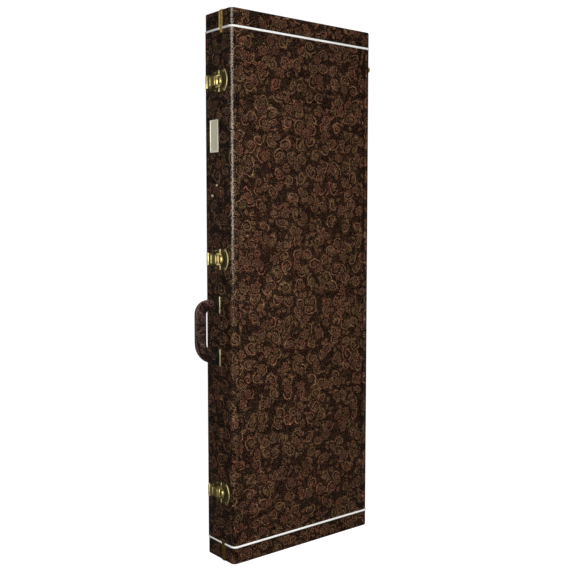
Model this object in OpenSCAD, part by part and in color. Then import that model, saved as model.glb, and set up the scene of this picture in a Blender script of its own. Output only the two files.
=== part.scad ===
// Rectangular hard case for an electric guitar, standing on its tail end.
// +Z runs from the tail end to the head end, -Y is the lid's face, -X is the side
// with the latches and the handle, +X is the hinge side.  The origin is the middle
// of the tail end's outer face.

/* [Case] */
// Overall length of the case body
case_l = 1067; // [900:1:1200]
// Overall width of the case body
case_w = 362; // [340:1:400]
// Overall depth, lid and base closed
case_d = 92; // [88:1:140]
// Depth of the lid, from its face to the seam
lid_d = 36.5; // [30:0.5:45]
// Radius of the four long edges
edge_r = 10; // [9:1:16]

/* [Construction] */
// Thickness of the two large plywood panels
panel_t = 4; // [3:0.5:6]
// Thickness of the long side boards
side_t = 5; // [4:0.5:8]
// Thickness of the boards at the two ends
end_t = 6; // [4:0.5:8]
// Thickness of the embossed vinyl covering
cover_t = 1; // [0.8:0.1:1.5]
// Length of the covering's separate band at each end
band_l = 34; // [25:1:50]
// Diameter of the cream piping
piping_d = 4; // [3:0.5:5]
// Thickness of the plush lining on the walls
lining_t = 1.5; // [1:0.5:3]
// Thickness of the base's floor pad
floor_pad_t = 5; // [3:1:10]
// Thickness of the lid's pad
lid_pad_t = 12; // [6:1:16]

/* [Latches] */
// Height of each latch above the tail end: top, middle, bottom
latch_z = [935, 595.5, 136];
// Width of a latch lever's finger end
lever_w = 24; // [20:1:28]
// Distance from the lever's pivot to the middle of its rolled finger end
lever_l = 30; // [24:1:34]

/* [Handle] */
// Height of the handle's upper leg above the tail end
handle_top_z = 506.5; // [450:0.5:560]
// Height of the handle's lower leg above the tail end
handle_low_z = 403.5; // [350:0.5:420]
// Distance of the grip's middle from the case side
handle_reach = 39.4; // [34:0.1:48]
// Radius of the grip
grip_r = 11; // [9:0.5:12]

/* [Hinges and feet] */
// Heights of the three hinges' middles above the tail end
hinge_z = [160, 533.5, 907];
// Length of a hinge along the seam
hinge_l = 50; // [40:1:60]
// Height that a foot stands out from the hinge side
foot_h = 9; // [7:0.5:12]

/* [Accessory pocket] */
// Lower end of the pocket, above the tail end
pocket_z0 = 520; // [515:1:560]
// Upper end of the pocket, above the tail end
pocket_z1 = 862; // [760:1:900]

/* [Hidden] */
$fn = 64;

// Colours
cover_c = "#3a2d23";
cream_c = "#f7f3e6";
brass_c = "#b09a3e";
wood_c = "#c9a873";
plush_c = "#6b1f2a";
steel_c = "#8a8a86";

// Planes across the depth
front_y = -case_d / 2;
back_y = case_d / 2;
seam_y = front_y + lid_d;
seam_gap = 0.6;
base_rim_y = seam_y + seam_gap / 2;
lid_rim_y = seam_y - seam_gap / 2;

// The wooden shell inside the covering
wood_hw = case_w / 2 - cover_t;
wood_r = edge_r - cover_t;
inner_hw = wood_hw - side_t;
inner_z0 = cover_t + end_t;
inner_z1 = case_l - cover_t - end_t;
lined_hw = inner_hw - lining_t;
lined_z0 = inner_z0 + lining_t;
lined_z1 = inner_z1 - lining_t;
base_floor_y = back_y - cover_t - panel_t;
lid_floor_y = front_y + cover_t + panel_t;
pad_top_y = base_floor_y - floor_pad_t;
block_top_y = seam_y + 4;
slack = 0.3;

// Piping, set halfway into the groove between two coverings
piping_r = piping_d / 2;
piping_out = 0.2;
piping_z = [band_l, case_l - band_l];

// Brass strips over the seam at both ends
trim_lid_w = 7.5;
trim_base_w = 3.5;
trim_proud = 1.2;
trim_leg = band_l + 3;

// Latch, in its own frame: X runs from the seam towards the back, Y outwards from
// the case side, Z along the case
plate_t = 1;
pivot_s = 3.5;
pivot_o = 6;
pivot_r = 0.9;
trunnion_s = 10.5;
trunnion_o = 3.2;
trunnion_r = 0.9;
run_gap = 0.05;
ear_z = 6.5;
ear_t = 1.2;
cheek_z = 8;
cheek_t = 1.2;
arm_z = 9.6;
arm_t = 1.8;
loop_r = arm_z + arm_t;
loop_s = 0.4;
loop_t = 2.4;
lug_gap = 0.8;
plate_hz = 20.5;
finger_r = 2.8;
lever_top_o = pivot_o + 1.9;
lever_t = 1.2;
lever_start = pivot_s + 0.8;
finger_s = 24;
rib_w = 2.2;
rib_h = 0.9;
keeper_end = 16;
keeper_bow = 9.6;
keeper_rise = 3;
lug_h = 6.4;

// Handle, in the same frame as a latch
handle_s = 15;
hinge_o = 11.6;
leg_end_r = 10;
lug_t = 6;
pin_r = 2;
bracket_t = 1.2;
bracket_l = 33;
bracket_w = 22.4;
bracket_s = 3.8;
strap_w = 12;
strap_t = 3;

// Case hinges, in the same frame mirrored to the hinge side
knuckle_r = 2.6;
knuckle_o = 3;
hinge_pin_r = 1.3;
leaf_t = 1.2;
leaf_w = 22;
mid_knuckle = 17.4;

// Accessory pocket inside the base
channel_hw = 33;
wall_t = 4;
pocket_lid_t = 4;
pocket_top_y = seam_y + 9;
pocket_lid_gap = 0.5;
pocket_pin_r = 0.6;
pocket_knuckle_r = 1.5;
pocket_axis_x = lined_hw - 3.2;
pocket_axis_y = pocket_top_y - pocket_lid_t - pocket_lid_gap - 1.4;

// Rest under the guitar's neck: its two ends, its top and the round notch
neck_rest_z = [680, 740];
neck_rest_y = 12;
neck_notch_r = 22;
neck_notch_y = 8;

// The hollow for the guitar's body: two overlapping rounds and a straight waist
bout_low = [178, 162];
bout_high = [372, 138];
waist_hw = 125;

// ---------- shared shapes ----------

module rounded_plan(hw, y0, y1, r) {
  for (x = [-hw + r, hw - r], y = [y0 + r, y1 - r]) translate([x, y]) circle(r);
  translate([-hw, y0 + r]) square([2 * hw, y1 - y0 - 2 * r]);
  translate([-hw + r, y0]) square([2 * hw - 2 * r, y1 - y0]);
}

module outer_plan() rounded_plan(case_w / 2, front_y, back_y, edge_r);

module wood_plan() rounded_plan(wood_hw, front_y + cover_t, back_y - cover_t, wood_r);

module between_y(y0, y1) {
  intersection() {
    children();
    translate([-case_w, y0, -1]) cube([2 * case_w, y1 - y0, case_l + 2]);
  }
}

module base_half() between_y(base_rim_y, back_y + 5) children();

module lid_half() between_y(front_y - 5, lid_rim_y) children();

module base_wood_half() between_y(base_rim_y + cover_t, back_y) children();

module lid_wood_half() between_y(front_y, lid_rim_y - cover_t) children();

module wood_block() translate([0, 0, cover_t]) linear_extrude(case_l - 2 * cover_t) wood_plan();

// A board of the shell: the part of the wooden block inside a box
module board(lo, hi) {
  intersection() {
    wood_block();
    translate(lo) cube(hi - lo);
  }
}

// Places children in the frame used for fittings on the latch side
module on_latch_side(z) translate([-case_w / 2, seam_y, z]) rotate([0, 0, 90]) children();

// The same on the hinge side, mirrored so that Y still runs outwards
module on_hinge_side(z) mirror([1, 0, 0]) on_latch_side(z) children();

// A round-headed rivet in a fitting's frame: the shank goes inwards, the head outwards
module rivet(s, o, z, head_r, shank_r, shank_l) {
  translate([s, o, z]) rotate([-90, 0, 0]) {
    intersection() {
      translate([0, 0, -head_r * 0.6]) sphere(head_r * 1.17);
      cylinder(h = head_r, r = head_r);
    }
    translate([0, 0, -shank_l]) cylinder(h = shank_l, r = shank_r);
  }
}

module rivet_hole(s, z, shank_r, depth) {
  translate([s, -depth, z]) rotate([-90, 0, 0]) cylinder(h = depth + 20, r = shank_r);
}

// Where the rivets of each fitting sit, as [across the seam, along the case]
latch_rivet_at = [[16, 16.5], [16, -16.5], [30, 9], [30, -9]];
keeper_rivet_at = [[-12, 16.5], [-12, -16.5]];
hinge_rivet_at = [[9, 19], [9, -19], [17, 0]];
bracket_rivet_at = [[handle_s, 14.2], [handle_s, -14.2]];
small_shank_r = 1.2;
shank_depth = cover_t + side_t;

module shell_rivet_holes(latch_side, base) {
  if (latch_side) {
    for (z = latch_z, p = base ? latch_rivet_at : keeper_rivet_at)
      on_latch_side(z) rivet_hole(p[0], p[1], small_shank_r, shank_depth);
    if (base) {
      for (z = [handle_top_z, handle_low_z], p = bracket_rivet_at)
        on_latch_side(z) rivet_hole(p[0], p[1], small_shank_r, shank_depth);
      for (p = badge_pin_at) on_latch_side(badge_z) rivet_hole(p[0], p[1], badge_pin_r, badge_pin_l);
      for (p = stud_at) on_latch_side(0) rivet_hole(p[0], p[1], small_shank_r, shank_depth);
    }
  } else {
    for (z = hinge_z, p = hinge_rivet_at)
      on_hinge_side(z) rivet_hole(base ? p[0] : -p[0], p[1], small_shank_r, shank_depth);
    for (p = base ? base_foot_at : lid_foot_at)
      on_hinge_side(0) rivet_hole(p[0], p[1], foot_screw_r, shank_depth - 0.5);
  }
}

// ---------- wooden shell ----------

module base_back_board() color(wood_c)
  board([-case_w, base_floor_y, 0], [case_w, back_y, case_l]);

module base_latch_side_board() color(wood_c) difference() {
  base_wood_half() board([-case_w, seam_y, 0], [-inner_hw, base_floor_y, case_l]);
  shell_rivet_holes(true, true);
}

module base_hinge_side_board() color(wood_c) difference() {
  base_wood_half() board([inner_hw, seam_y, 0], [case_w, base_floor_y, case_l]);
  shell_rivet_holes(false, true);
}

module base_top_board() color(wood_c)
  base_wood_half() board([-inner_hw, seam_y, inner_z1], [inner_hw, base_floor_y, case_l]);

module base_bottom_board() color(wood_c)
  base_wood_half() board([-inner_hw, seam_y, 0], [inner_hw, base_floor_y, inner_z0]);

module lid_face_board() color(wood_c)
  board([-case_w, front_y, 0], [case_w, lid_floor_y, case_l]);

module lid_latch_side_board() color(wood_c) difference() {
  lid_wood_half() board([-case_w, lid_floor_y, 0], [-inner_hw, seam_y, case_l]);
  shell_rivet_holes(true, false);
}

module lid_hinge_side_board() color(wood_c) difference() {
  lid_wood_half() board([inner_hw, lid_floor_y, 0], [case_w, seam_y, case_l]);
  shell_rivet_holes(false, false);
}

module lid_top_board() color(wood_c)
  lid_wood_half() board([-inner_hw, lid_floor_y, inner_z1], [inner_hw, seam_y, case_l]);

module lid_bottom_board() color(wood_c)
  lid_wood_half() board([-inner_hw, lid_floor_y, 0], [inner_hw, seam_y, inner_z0]);

// ---------- covering ----------

// The covering round the shell between two heights, turned over the rim
module cover_wrap(z0, z1) {
  difference() {
    translate([0, 0, z0]) linear_extrude(z1 - z0) outer_plan();
    base_wood_half() wood_block();
    lid_wood_half() wood_block();
    translate([-inner_hw, front_y + cover_t + 1, inner_z0])
      cube([2 * inner_hw, case_d - 2 * cover_t - 2, inner_z1 - inner_z0]);
  }
}

module main_wrap() cover_wrap(band_l + piping_r, case_l - band_l - piping_r);

module top_wrap() difference() {
  cover_wrap(case_l - band_l + piping_r, case_l);
  trim_space();
}

module bottom_wrap() difference() {
  cover_wrap(0, band_l - piping_r);
  trim_space();
}

module base_main_cover() color(cover_c) difference() {
  base_half() main_wrap();
  trim_space();
  shell_rivet_holes(true, true);
  shell_rivet_holes(false, true);
}

module lid_main_cover() color(cover_c) difference() {
  lid_half() main_wrap();
  trim_space();
  shell_rivet_holes(true, false);
  shell_rivet_holes(false, false);
}

module base_top_cover() color(cover_c) base_half() top_wrap();

module base_bottom_cover() color(cover_c) base_half() bottom_wrap();

module lid_top_cover() color(cover_c) lid_half() top_wrap();

module lid_bottom_cover() color(cover_c) lid_half() bottom_wrap();

// One ring of piping round the shell, flat where it lies on the wood
module piping_ring(z) {
  hw = wood_hw + piping_out;
  y0 = front_y + cover_t - piping_out;
  y1 = back_y - cover_t + piping_out;
  r = wood_r + piping_out;
  difference() {
    union() {
      for (x = [-hw, hw])
        translate([x, y0 + r, z]) rotate([-90, 0, 0]) cylinder(h = y1 - y0 - 2 * r, r = piping_r);
      for (y = [y0, y1])
        translate([-hw + r, y, z]) rotate([0, 90, 0]) cylinder(h = 2 * hw - 2 * r, r = piping_r);
      for (c = [[hw - r, y1 - r, 0], [-hw + r, y1 - r, 90], [-hw + r, y0 + r, 180], [hw - r, y0 + r, 270]])
        translate([c[0], c[1], z]) rotate([0, 0, c[2]])
          rotate_extrude(angle = 90) translate([r, 0]) circle(piping_r);
    }
    wood_block();
    trim_space();
  }
}

module base_piping() color(cream_c) between_y(base_rim_y, back_y + 5) {
  for (z = piping_z) piping_ring(z);
}

module lid_piping() color(cream_c) between_y(front_y - 5, lid_rim_y) {
  for (z = piping_z) piping_ring(z);
}

// The strips that hide the seam at both ends: a flat run over the end and two short legs
module trim_space() {
  for (x = [-1, 1], z = [0, case_l])
    translate([x > 0 ? wood_hw : -case_w / 2 - 5, seam_y - trim_lid_w, z > 0 ? z - trim_leg : -1])
      cube([5 + cover_t, trim_lid_w + trim_base_w, trim_leg + 1 + (z > 0 ? 5 : 0)]);
  for (z = [-1, case_l - cover_t])
    translate([-case_w, seam_y - trim_lid_w, z])
      cube([2 * case_w, trim_lid_w + trim_base_w, cover_t + (z > 0 ? 5 : 1)]);
}

module trim_blank() {
  hw = case_w / 2 + trim_proud;
  difference() {
    translate([-hw, seam_y - trim_lid_w, 0])
      cube([2 * hw, trim_lid_w + trim_base_w, case_l + trim_proud]);
    translate([-wood_hw, -case_d, cover_t]) cube([2 * wood_hw, 2 * case_d, case_l - 2 * cover_t]);
    translate([-case_w, -case_d, trim_leg]) cube([2 * case_w, 2 * case_d, case_l - 2 * trim_leg]);
  }
}

module base_end_trim() color(brass_c) base_half() trim_blank();

module lid_end_trim() color(brass_c) lid_half() trim_blank();

// ---------- lining and padding ----------

module lining_ring(y0, y1) difference() {
  translate([-inner_hw, y0, inner_z0]) cube([2 * inner_hw, y1 - y0, inner_z1 - inner_z0]);
  translate([-lined_hw, y0 - 1, lined_z0]) cube([2 * lined_hw, y1 - y0 + 2, lined_z1 - lined_z0]);
}

module base_wall_lining() color(plush_c) lining_ring(base_rim_y + cover_t, base_floor_y);

module lid_wall_lining() color(plush_c) lining_ring(lid_floor_y, lid_rim_y - cover_t);

module base_floor_pad() color(plush_c)
  translate([-lined_hw, pad_top_y, lined_z0])
    cube([2 * lined_hw, floor_pad_t, lined_z1 - lined_z0]);

module lid_pad() color(plush_c)
  translate([-lined_hw, lid_floor_y, lined_z0])
    cube([2 * lined_hw, lid_pad_t, lined_z1 - lined_z0]);

// Outline of the hollow for the guitar's body, across (X) and along (Y) the case
module body_hollow() {
  for (b = [bout_low, bout_high]) translate([0, b[0]]) circle(b[1], $fn = 96);
  translate([-waist_hw, bout_low[0]]) square([2 * waist_hw, bout_high[0] - bout_low[0]]);
}

// A block that stands on the floor pad, drawn as seen from the lid
module standing_block(top_y) {
  translate([0, pad_top_y, 0]) rotate([90, 0, 0]) linear_extrude(pad_top_y - top_y) children();
}

module side_region(z0, z1) translate([-lined_hw, z0]) square([lined_hw - channel_hw, z1 - z0]);

module latch_side_block() color(plush_c) standing_block(block_top_y) difference() {
  side_region(bout_low[0], pocket_z1);
  body_hollow();
}

module hinge_side_block() color(plush_c) standing_block(block_top_y) mirror([1, 0]) difference() {
  side_region(bout_low[0], pocket_z0 - 1);
  body_hollow();
}

module tail_corner_blocks() color(plush_c) standing_block(block_top_y) difference() {
  for (x = [-lined_hw, 40]) translate([x, lined_z0]) square([lined_hw - 40, bout_low[0] - lined_z0]);
  body_hollow();
}

module neck_rest() color(plush_c)
  translate([0, 0, neck_rest_z[0]]) linear_extrude(neck_rest_z[1] - neck_rest_z[0]) difference() {
    translate([-channel_hw, neck_rest_y]) square([2 * channel_hw, pad_top_y - neck_rest_y]);
    translate([0, neck_notch_y]) circle(neck_notch_r);
  }

// ---------- accessory pocket ----------

module pocket_walls() color(plush_c) standing_block(pocket_top_y) difference() {
  translate([channel_hw, pocket_z0]) square([lined_hw - channel_hw, pocket_z1 - pocket_z0]);
  translate([channel_hw + wall_t, pocket_z0 + wall_t])
    square([lined_hw - channel_hw - 2 * wall_t, pocket_z1 - pocket_z0 - 2 * wall_t]);
}

pocket_hinge_l = 240;
pocket_hinge_z0 = (pocket_z0 + pocket_z1 - pocket_hinge_l) / 2;
pocket_hinge_z1 = pocket_hinge_z0 + pocket_hinge_l;
pocket_knuckle_l = pocket_hinge_l / 6;
pocket_leaf_t = 0.8;
pocket_leaf_w = 12;
pocket_lid_under_y = pocket_top_y - pocket_lid_t - pocket_lid_gap;

module pocket_knuckles(parts) {
  for (i = parts)
    translate([pocket_axis_x, pocket_axis_y, pocket_hinge_z0 + i * pocket_knuckle_l + slack / 2])
      cylinder(h = pocket_knuckle_l - slack, r = pocket_knuckle_r);
}

// Room round the knuckles of the other leaf
module pocket_knuckle_space(parts) {
  for (i = parts) translate([pocket_axis_x, pocket_axis_y, pocket_hinge_z0 + i * pocket_knuckle_l])
    cylinder(h = pocket_knuckle_l, r = pocket_knuckle_r + slack);
}

// The leaf fixed to the pocket's outer wall, edge on
module pocket_hinge_leaf() color(brass_c) difference() {
  union() {
    pocket_knuckles([0, 2, 4]);
    difference() {
      translate([pocket_axis_x + pocket_knuckle_r - pocket_leaf_t, pocket_axis_y, pocket_hinge_z0])
        cube([pocket_leaf_t, pocket_top_y - pocket_axis_y, pocket_hinge_l]);
      pocket_knuckle_space([1, 3, 5]);
    }
  }
  translate([pocket_axis_x, pocket_axis_y, 0]) cylinder(h = case_l, r = pocket_pin_r);
}

module pocket_hinge_pin() color(brass_c)
  translate([pocket_axis_x, pocket_axis_y, pocket_hinge_z0])
    cylinder(h = pocket_hinge_l, r = pocket_pin_r);

pocket_lid_x1 = pocket_axis_x - pocket_knuckle_r - slack;

module pocket_lid() color(plush_c)
  translate([channel_hw + 1, pocket_lid_under_y, pocket_z0 + 1])
    cube([pocket_lid_x1 - channel_hw - 1, pocket_lid_t, pocket_z1 - pocket_z0 - 2]);

module pocket_lid_leaf() color(brass_c) difference() {
  union() {
    pocket_knuckles([1, 3, 5]);
    difference() {
      translate([pocket_lid_x1 - pocket_leaf_w, pocket_lid_under_y - pocket_leaf_t, pocket_hinge_z0])
        cube([pocket_leaf_w + slack + pocket_knuckle_r, pocket_leaf_t, pocket_hinge_l]);
      pocket_knuckle_space([0, 2, 4]);
      translate([pocket_axis_x, pocket_axis_y, 0]) cylinder(h = case_l, r = pocket_pin_r + run_gap);
    }
  }
  translate([pocket_axis_x, pocket_axis_y, 0]) cylinder(h = case_l, r = pocket_pin_r + run_gap);
}

// Ribbon loop at the pocket lid's free edge
module pocket_tab() color(plush_c)
  translate([channel_hw + 1 - 14, pocket_lid_under_y - 1, (pocket_hinge_z0 + pocket_hinge_z1) / 2 - 10])
    cube([34, 1, 20]);

// ---------- latches ----------

// Outline of the plate on the base, wide at the seam and narrower at the back
module latch_plate_plan() hull() {
  translate([1, -plate_hz]) square([12, 2 * plate_hz]);
  translate([33, -12]) square([3, 24]);
}

module latch_plate() difference() {
  union() {
    rotate([-90, 0, 0]) mirror([0, 1, 0]) linear_extrude(plate_t) latch_plate_plan();
    for (z = [ear_z, -ear_z - ear_t]) translate([0, 0, z]) linear_extrude(ear_t) ear_plan();
    for (z = [12.5, -20]) translate([1, 0, z]) cube([1.6, 2.8, 7.5]);
  }
  translate([pivot_s, pivot_o, -plate_hz]) cylinder(h = 2 * plate_hz, r = pivot_r);
  for (p = latch_rivet_at) rivet_hole(p[0], p[1], small_shank_r, 0);
}

// Side outline of the ears that carry the lever
module ear_plan() {
  translate([pivot_s, pivot_o]) circle(1.5);
  translate([pivot_s - 1.5, 0]) square([3, pivot_o]);
  polygon([
    [pivot_s - 1.5, 0], [pivot_s + 5, 0], [pivot_s + 5, 1.2], [pivot_s + 1.5, 3.2], [pivot_s - 1.5, 3.2]
  ]);
}

module latch_plates() color(brass_c) for (z = latch_z) on_latch_side(z) latch_plate();

module latch_plate_rivets() color(brass_c)
  for (z = latch_z, p = latch_rivet_at)
    on_latch_side(z) rivet(p[0], plate_t, p[1], 1.9, small_shank_r, shank_depth + plate_t);

// Short stub pins through an ear and the lever's cheek beside it
module latch_pivot_pins() color(brass_c)
  for (z = latch_z, side = [0, 1]) on_latch_side(z) mirror([0, 0, side])
    translate([pivot_s, pivot_o, ear_z - 0.4]) cylinder(h = cheek_z + cheek_t - ear_z + 0.4, r = pivot_r);

// Side outline of a lever's cheek
module cheek_plan() {
  hull() {
    translate([pivot_s, pivot_o]) circle(1.9, $fn = 32);
    translate([trunnion_s, trunnion_o]) circle(1.8, $fn = 32);
    translate([trunnion_s + 6, lever_top_o - 1]) square([1, 1]);
    translate([lever_start, lever_top_o - 0.2]) square([1, 0.2]);
  }
  translate([lever_start, lever_top_o - 1.5]) square([pivot_s + lever_l - lever_start, 1.5]);
}

module lever() difference() {
  union() {
    translate([lever_start, lever_top_o, -cheek_z - cheek_t])
      cube([pivot_s + lever_l - lever_start, lever_t, 2 * (cheek_z + cheek_t)]);
    translate([finger_s, lever_top_o, -lever_w / 2])
      cube([pivot_s + lever_l - finger_s, lever_t, lever_w]);
    for (z = [cheek_z, -cheek_z - cheek_t]) translate([0, 0, z]) linear_extrude(cheek_t) cheek_plan();
    translate([pivot_s + lever_l, lever_top_o + 0.6, -lever_w / 2]) cylinder(h = lever_w, r = finger_r);
    for (s = [pivot_s + 1, pivot_s + 17]) translate([s, lever_top_o + lever_t, -8]) cube([rib_w, rib_h, 16]);
  }
  translate([pivot_s, pivot_o, -lever_w]) cylinder(h = 2 * lever_w, r = pivot_r + run_gap);
  translate([trunnion_s, trunnion_o, -lever_w]) cylinder(h = 2 * lever_w, r = trunnion_r + run_gap);
}

module lever_top() color(brass_c) on_latch_side(latch_z[0]) lever();

module lever_middle() color(brass_c) on_latch_side(latch_z[1]) lever();

module lever_bottom() color(brass_c) on_latch_side(latch_z[2]) lever();

// The loop that the lever draws over the keeper: two arms joined by a half ring
module loop() {
  translate([0, trunnion_o - loop_t / 2, 0]) rotate([-90, 0, 0]) linear_extrude(loop_t) {
    difference() {
      translate([loop_s, 0]) circle(loop_r);
      translate([loop_s, 0]) circle(arm_z);
      translate([loop_s, -20]) square([40, 40]);
    }
    for (z = [arm_z, -loop_r]) translate([loop_s, z]) square([trunnion_s - loop_s, arm_t]);
  }
  for (side = [0, 1]) mirror([0, 0, side]) {
    translate([trunnion_s, trunnion_o, arm_z]) cylinder(h = arm_t, r = loop_t / 2);
    translate([trunnion_s, trunnion_o, cheek_z - 0.2]) cylinder(h = arm_z - cheek_z + 0.4, r = trunnion_r);
  }
}

module loop_top() color(brass_c) on_latch_side(latch_z[0]) loop();

module loop_middle() color(brass_c) on_latch_side(latch_z[1]) loop();

module loop_bottom() color(brass_c) on_latch_side(latch_z[2]) loop();

// Outline of the keeper on the lid, with a bowed front edge
keeper_bow_r = (plate_hz * plate_hz + keeper_bow * keeper_bow) / (2 * keeper_bow);

module keeper_plan(inset) {
  intersection() {
    translate([-40, -plate_hz + inset]) square([39, 2 * (plate_hz - inset)]);
    union() {
      translate([-keeper_end, -plate_hz]) square([keeper_end, 2 * plate_hz]);
      translate([keeper_bow_r - keeper_end - keeper_bow, 0]) circle(keeper_bow_r - inset, $fn = 128);
    }
  }
}

module keeper() difference() {
  rotate([-90, 0, 0]) mirror([0, 1, 0]) {
    linear_extrude(plate_t) keeper_plan(0);
    linear_extrude(keeper_rise) difference() {
      keeper_plan(0);
      keeper_plan(1.4);
      translate([-keeper_end + 1, -40]) square([40, 80]);
    }
    linear_extrude(lug_h) intersection() {
      translate([loop_s, 0]) circle(arm_z - lug_gap);
      translate([-9, -5.5]) square([4.5, 11]);
    }
  }
  for (p = keeper_rivet_at) rivet_hole(p[0], p[1], small_shank_r, 0);
}

module latch_keepers() color(brass_c) for (z = latch_z) on_latch_side(z) keeper();

module keeper_rivets() color(brass_c)
  for (z = latch_z, p = keeper_rivet_at)
    on_latch_side(z) rivet(p[0], plate_t, p[1], 1.9, small_shank_r, shank_depth + plate_t);

// ---------- handle ----------

// Corners of the handle's middle line as [outwards, height], and the radius of each
leg_low = handle_low_z;
leg_top = handle_top_z;
handle_corners = [
  [hinge_o, leg_top, 0], [handle_reach, leg_top, 15], [handle_reach, leg_low, 24], [hinge_o, leg_low, 0]
];

function unit(v) = v / norm(v);
function xy(p) = [p[0], p[1]];

// Points of the round at one corner of a path, from its first to its last tangent point
function corner_arc(a, p, b, n = 8) =
  let (u = unit(xy(a) - xy(p)), v = unit(xy(b) - xy(p)),
       half = acos(max(-1, min(1, u * v))) / 2,
       c = xy(p) + unit(u + v) * p[2] / sin(half),
       t0 = xy(p) + u * p[2] / tan(half) - c, t1 = xy(p) + v * p[2] / tan(half) - c,
       turn = 180 - 2 * half)
  [for (i = [0:n]) c + (t0 * sin(turn * (1 - i / n)) + t1 * sin(turn * i / n)) / sin(turn)];

function path_middle(c) = [
  for (i = [0:len(c) - 1])
    each (c[i][2] == 0 ? [xy(c[i])] : corner_arc(c[i - 1], c[i], c[i + 1]))
];
handle_path = path_middle(handle_corners);

function path_tangent(p, i) = unit(p[min(i + 1, len(p) - 1)] - p[max(i - 1, 0)]);

// The strip of a given thickness along the handle's middle line
module path_strip(p, t) {
  n = len(p);
  polygon([
    for (i = [0:n - 1]) let (d = path_tangent(p, i)) p[i] + [d[1], -d[0]] * t / 2,
    for (i = [n - 1:-1:0]) let (d = path_tangent(p, i)) p[i] - [d[1], -d[0]] * t / 2
  ]);
}

grip_sides = 28;

// A round bar swept along the handle's middle line, which lies in the plane of s = handle_s
module grip_bar() {
  n = len(handle_path);
  points = [
    for (i = [0:n - 1], j = [0:grip_sides - 1])
      let (d = path_tangent(handle_path, i), a = 360 * j / grip_sides,
           q = handle_path[i] + [d[1], -d[0]] * grip_r * cos(a))
      [handle_s + grip_r * sin(a), q[0], q[1]]
  ];
  sides = [
    for (i = [0:n - 2], j = [0:grip_sides - 1])
      let (k = (j + 1) % grip_sides, a = i * grip_sides, b = a + grip_sides)
      each [[a + j, b + k, b + j], [a + j, a + k, b + k]]
  ];
  first = [[for (j = [grip_sides - 1:-1:0]) j]];
  last = [[for (j = [0:grip_sides - 1]) (n - 1) * grip_sides + j]];
  polyhedron(points, concat(sides, first, last));
}

// The handle is drawn in the fitting frame at height 0
module handle_frame() on_latch_side(0) children();

module leg_end(z) translate([handle_s, hinge_o, z - grip_r]) cylinder(h = 2 * grip_r, r = leg_end_r);

module leg_slot(z) translate([handle_s - 20, -5, z - lug_t / 2 - slack])
  cube([40, 5 + hinge_o + 5.8, lug_t + 2 * slack]);

module handle_grip() color(cover_c) handle_frame() difference() {
  union() {
    grip_bar();
    leg_end(leg_top);
    leg_end(leg_low);
  }
  handle_core_solid();
  for (z = [leg_top, leg_low]) {
    leg_slot(z);
    pin_solid(z);
  }
}

clevis_t = 2;
clevis_o = hinge_o + 5.8;

// The steel strap inside the grip, with a fork at each end
module handle_core_solid() {
  translate([handle_s - strap_w / 2, 0, 0]) rotate([90, 0, 90]) linear_extrude(strap_w)
    intersection() {
      path_strip(handle_path, strap_t);
      translate([clevis_o + 1, 0]) square([60, case_l]);
    }
  for (z = [leg_top, leg_low]) difference() {
    union() {
      translate([handle_s - strap_w / 2, clevis_o, z - lug_t / 2 - slack - clevis_t])
        cube([strap_w, 3, lug_t + 2 * slack + 2 * clevis_t]);
      for (dz = [lug_t / 2 + slack, -lug_t / 2 - slack - clevis_t])
        translate([handle_s - 4, hinge_o, z + dz]) cube([8, clevis_o - hinge_o + 1, clevis_t]);
      for (dz = [lug_t / 2 + slack, -lug_t / 2 - slack - clevis_t])
        translate([handle_s, hinge_o, z + dz]) cylinder(h = clevis_t, r = 4);
    }
    pin_solid(z);
  }
}

module handle_core() color(steel_c) handle_frame() handle_core_solid();

module pin_solid(z) translate([handle_s, hinge_o, z - 8]) cylinder(h = 16, r = pin_r);

module handle_pins() color(brass_c) handle_frame() for (z = [leg_top, leg_low]) pin_solid(z);

module handle_bracket() difference() {
  union() {
    translate([bracket_s, 0, -bracket_l / 2]) cube([bracket_w, bracket_t, bracket_l]);
    translate([bracket_s, 0, -bracket_l / 2]) cube([1, bracket_t + 1, bracket_l]);
    translate([handle_s, hinge_o, -lug_t / 2]) cylinder(h = lug_t, r = 5);
    translate([handle_s - 4, 0, -lug_t / 2]) cube([8, hinge_o, lug_t]);
  }
  translate([handle_s, hinge_o, -10]) cylinder(h = 20, r = pin_r + run_gap);
  for (p = bracket_rivet_at) rivet_hole(p[0], p[1], small_shank_r, 0);
}

module handle_brackets() color(brass_c) for (z = [leg_top, leg_low]) on_latch_side(z) handle_bracket();

module handle_bracket_rivets() color(brass_c)
  for (z = [leg_top, leg_low], p = bracket_rivet_at)
    on_latch_side(z) rivet(p[0], bracket_t, p[1], 2.2, small_shank_r, shank_depth + bracket_t);

// ---------- small fittings on the latch side ----------

badge_z = 832.5;
badge_l = 62;
badge_w = 27;
badge_s = 7.2;
badge_t = 1;
badge_pin_r = 0.8;
badge_pin_l = 4;
badge_pin_at = [
  for (s = [badge_s + 3, badge_s + badge_w - 3], z = [badge_l / 2 - 3, 3 - badge_l / 2]) [s, z]
];
stud_at = [[14, 737], [27.5, 719]];

// Plain plate with a raised border
module badge_plate() color(brass_c) on_latch_side(badge_z) difference() {
  translate([badge_s, 0, -badge_l / 2]) cube([badge_w, badge_t + 0.6, badge_l]);
  translate([badge_s + 1.4, badge_t, -badge_l / 2 + 1.4]) cube([badge_w - 2.8, 2, badge_l - 2.8]);
  for (p = badge_pin_at) rivet_hole(p[0], p[1], badge_pin_r, 0);
}

module badge_pins() color(brass_c)
  for (p = badge_pin_at)
    on_latch_side(badge_z) rivet(p[0], badge_t, p[1], 1.3, badge_pin_r, badge_pin_l + badge_t);

module side_studs() color(brass_c)
  for (p = stud_at) on_latch_side(0) rivet(p[0], 0, p[1], 2.6, small_shank_r, shank_depth);

// ---------- hinges and feet ----------

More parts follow.
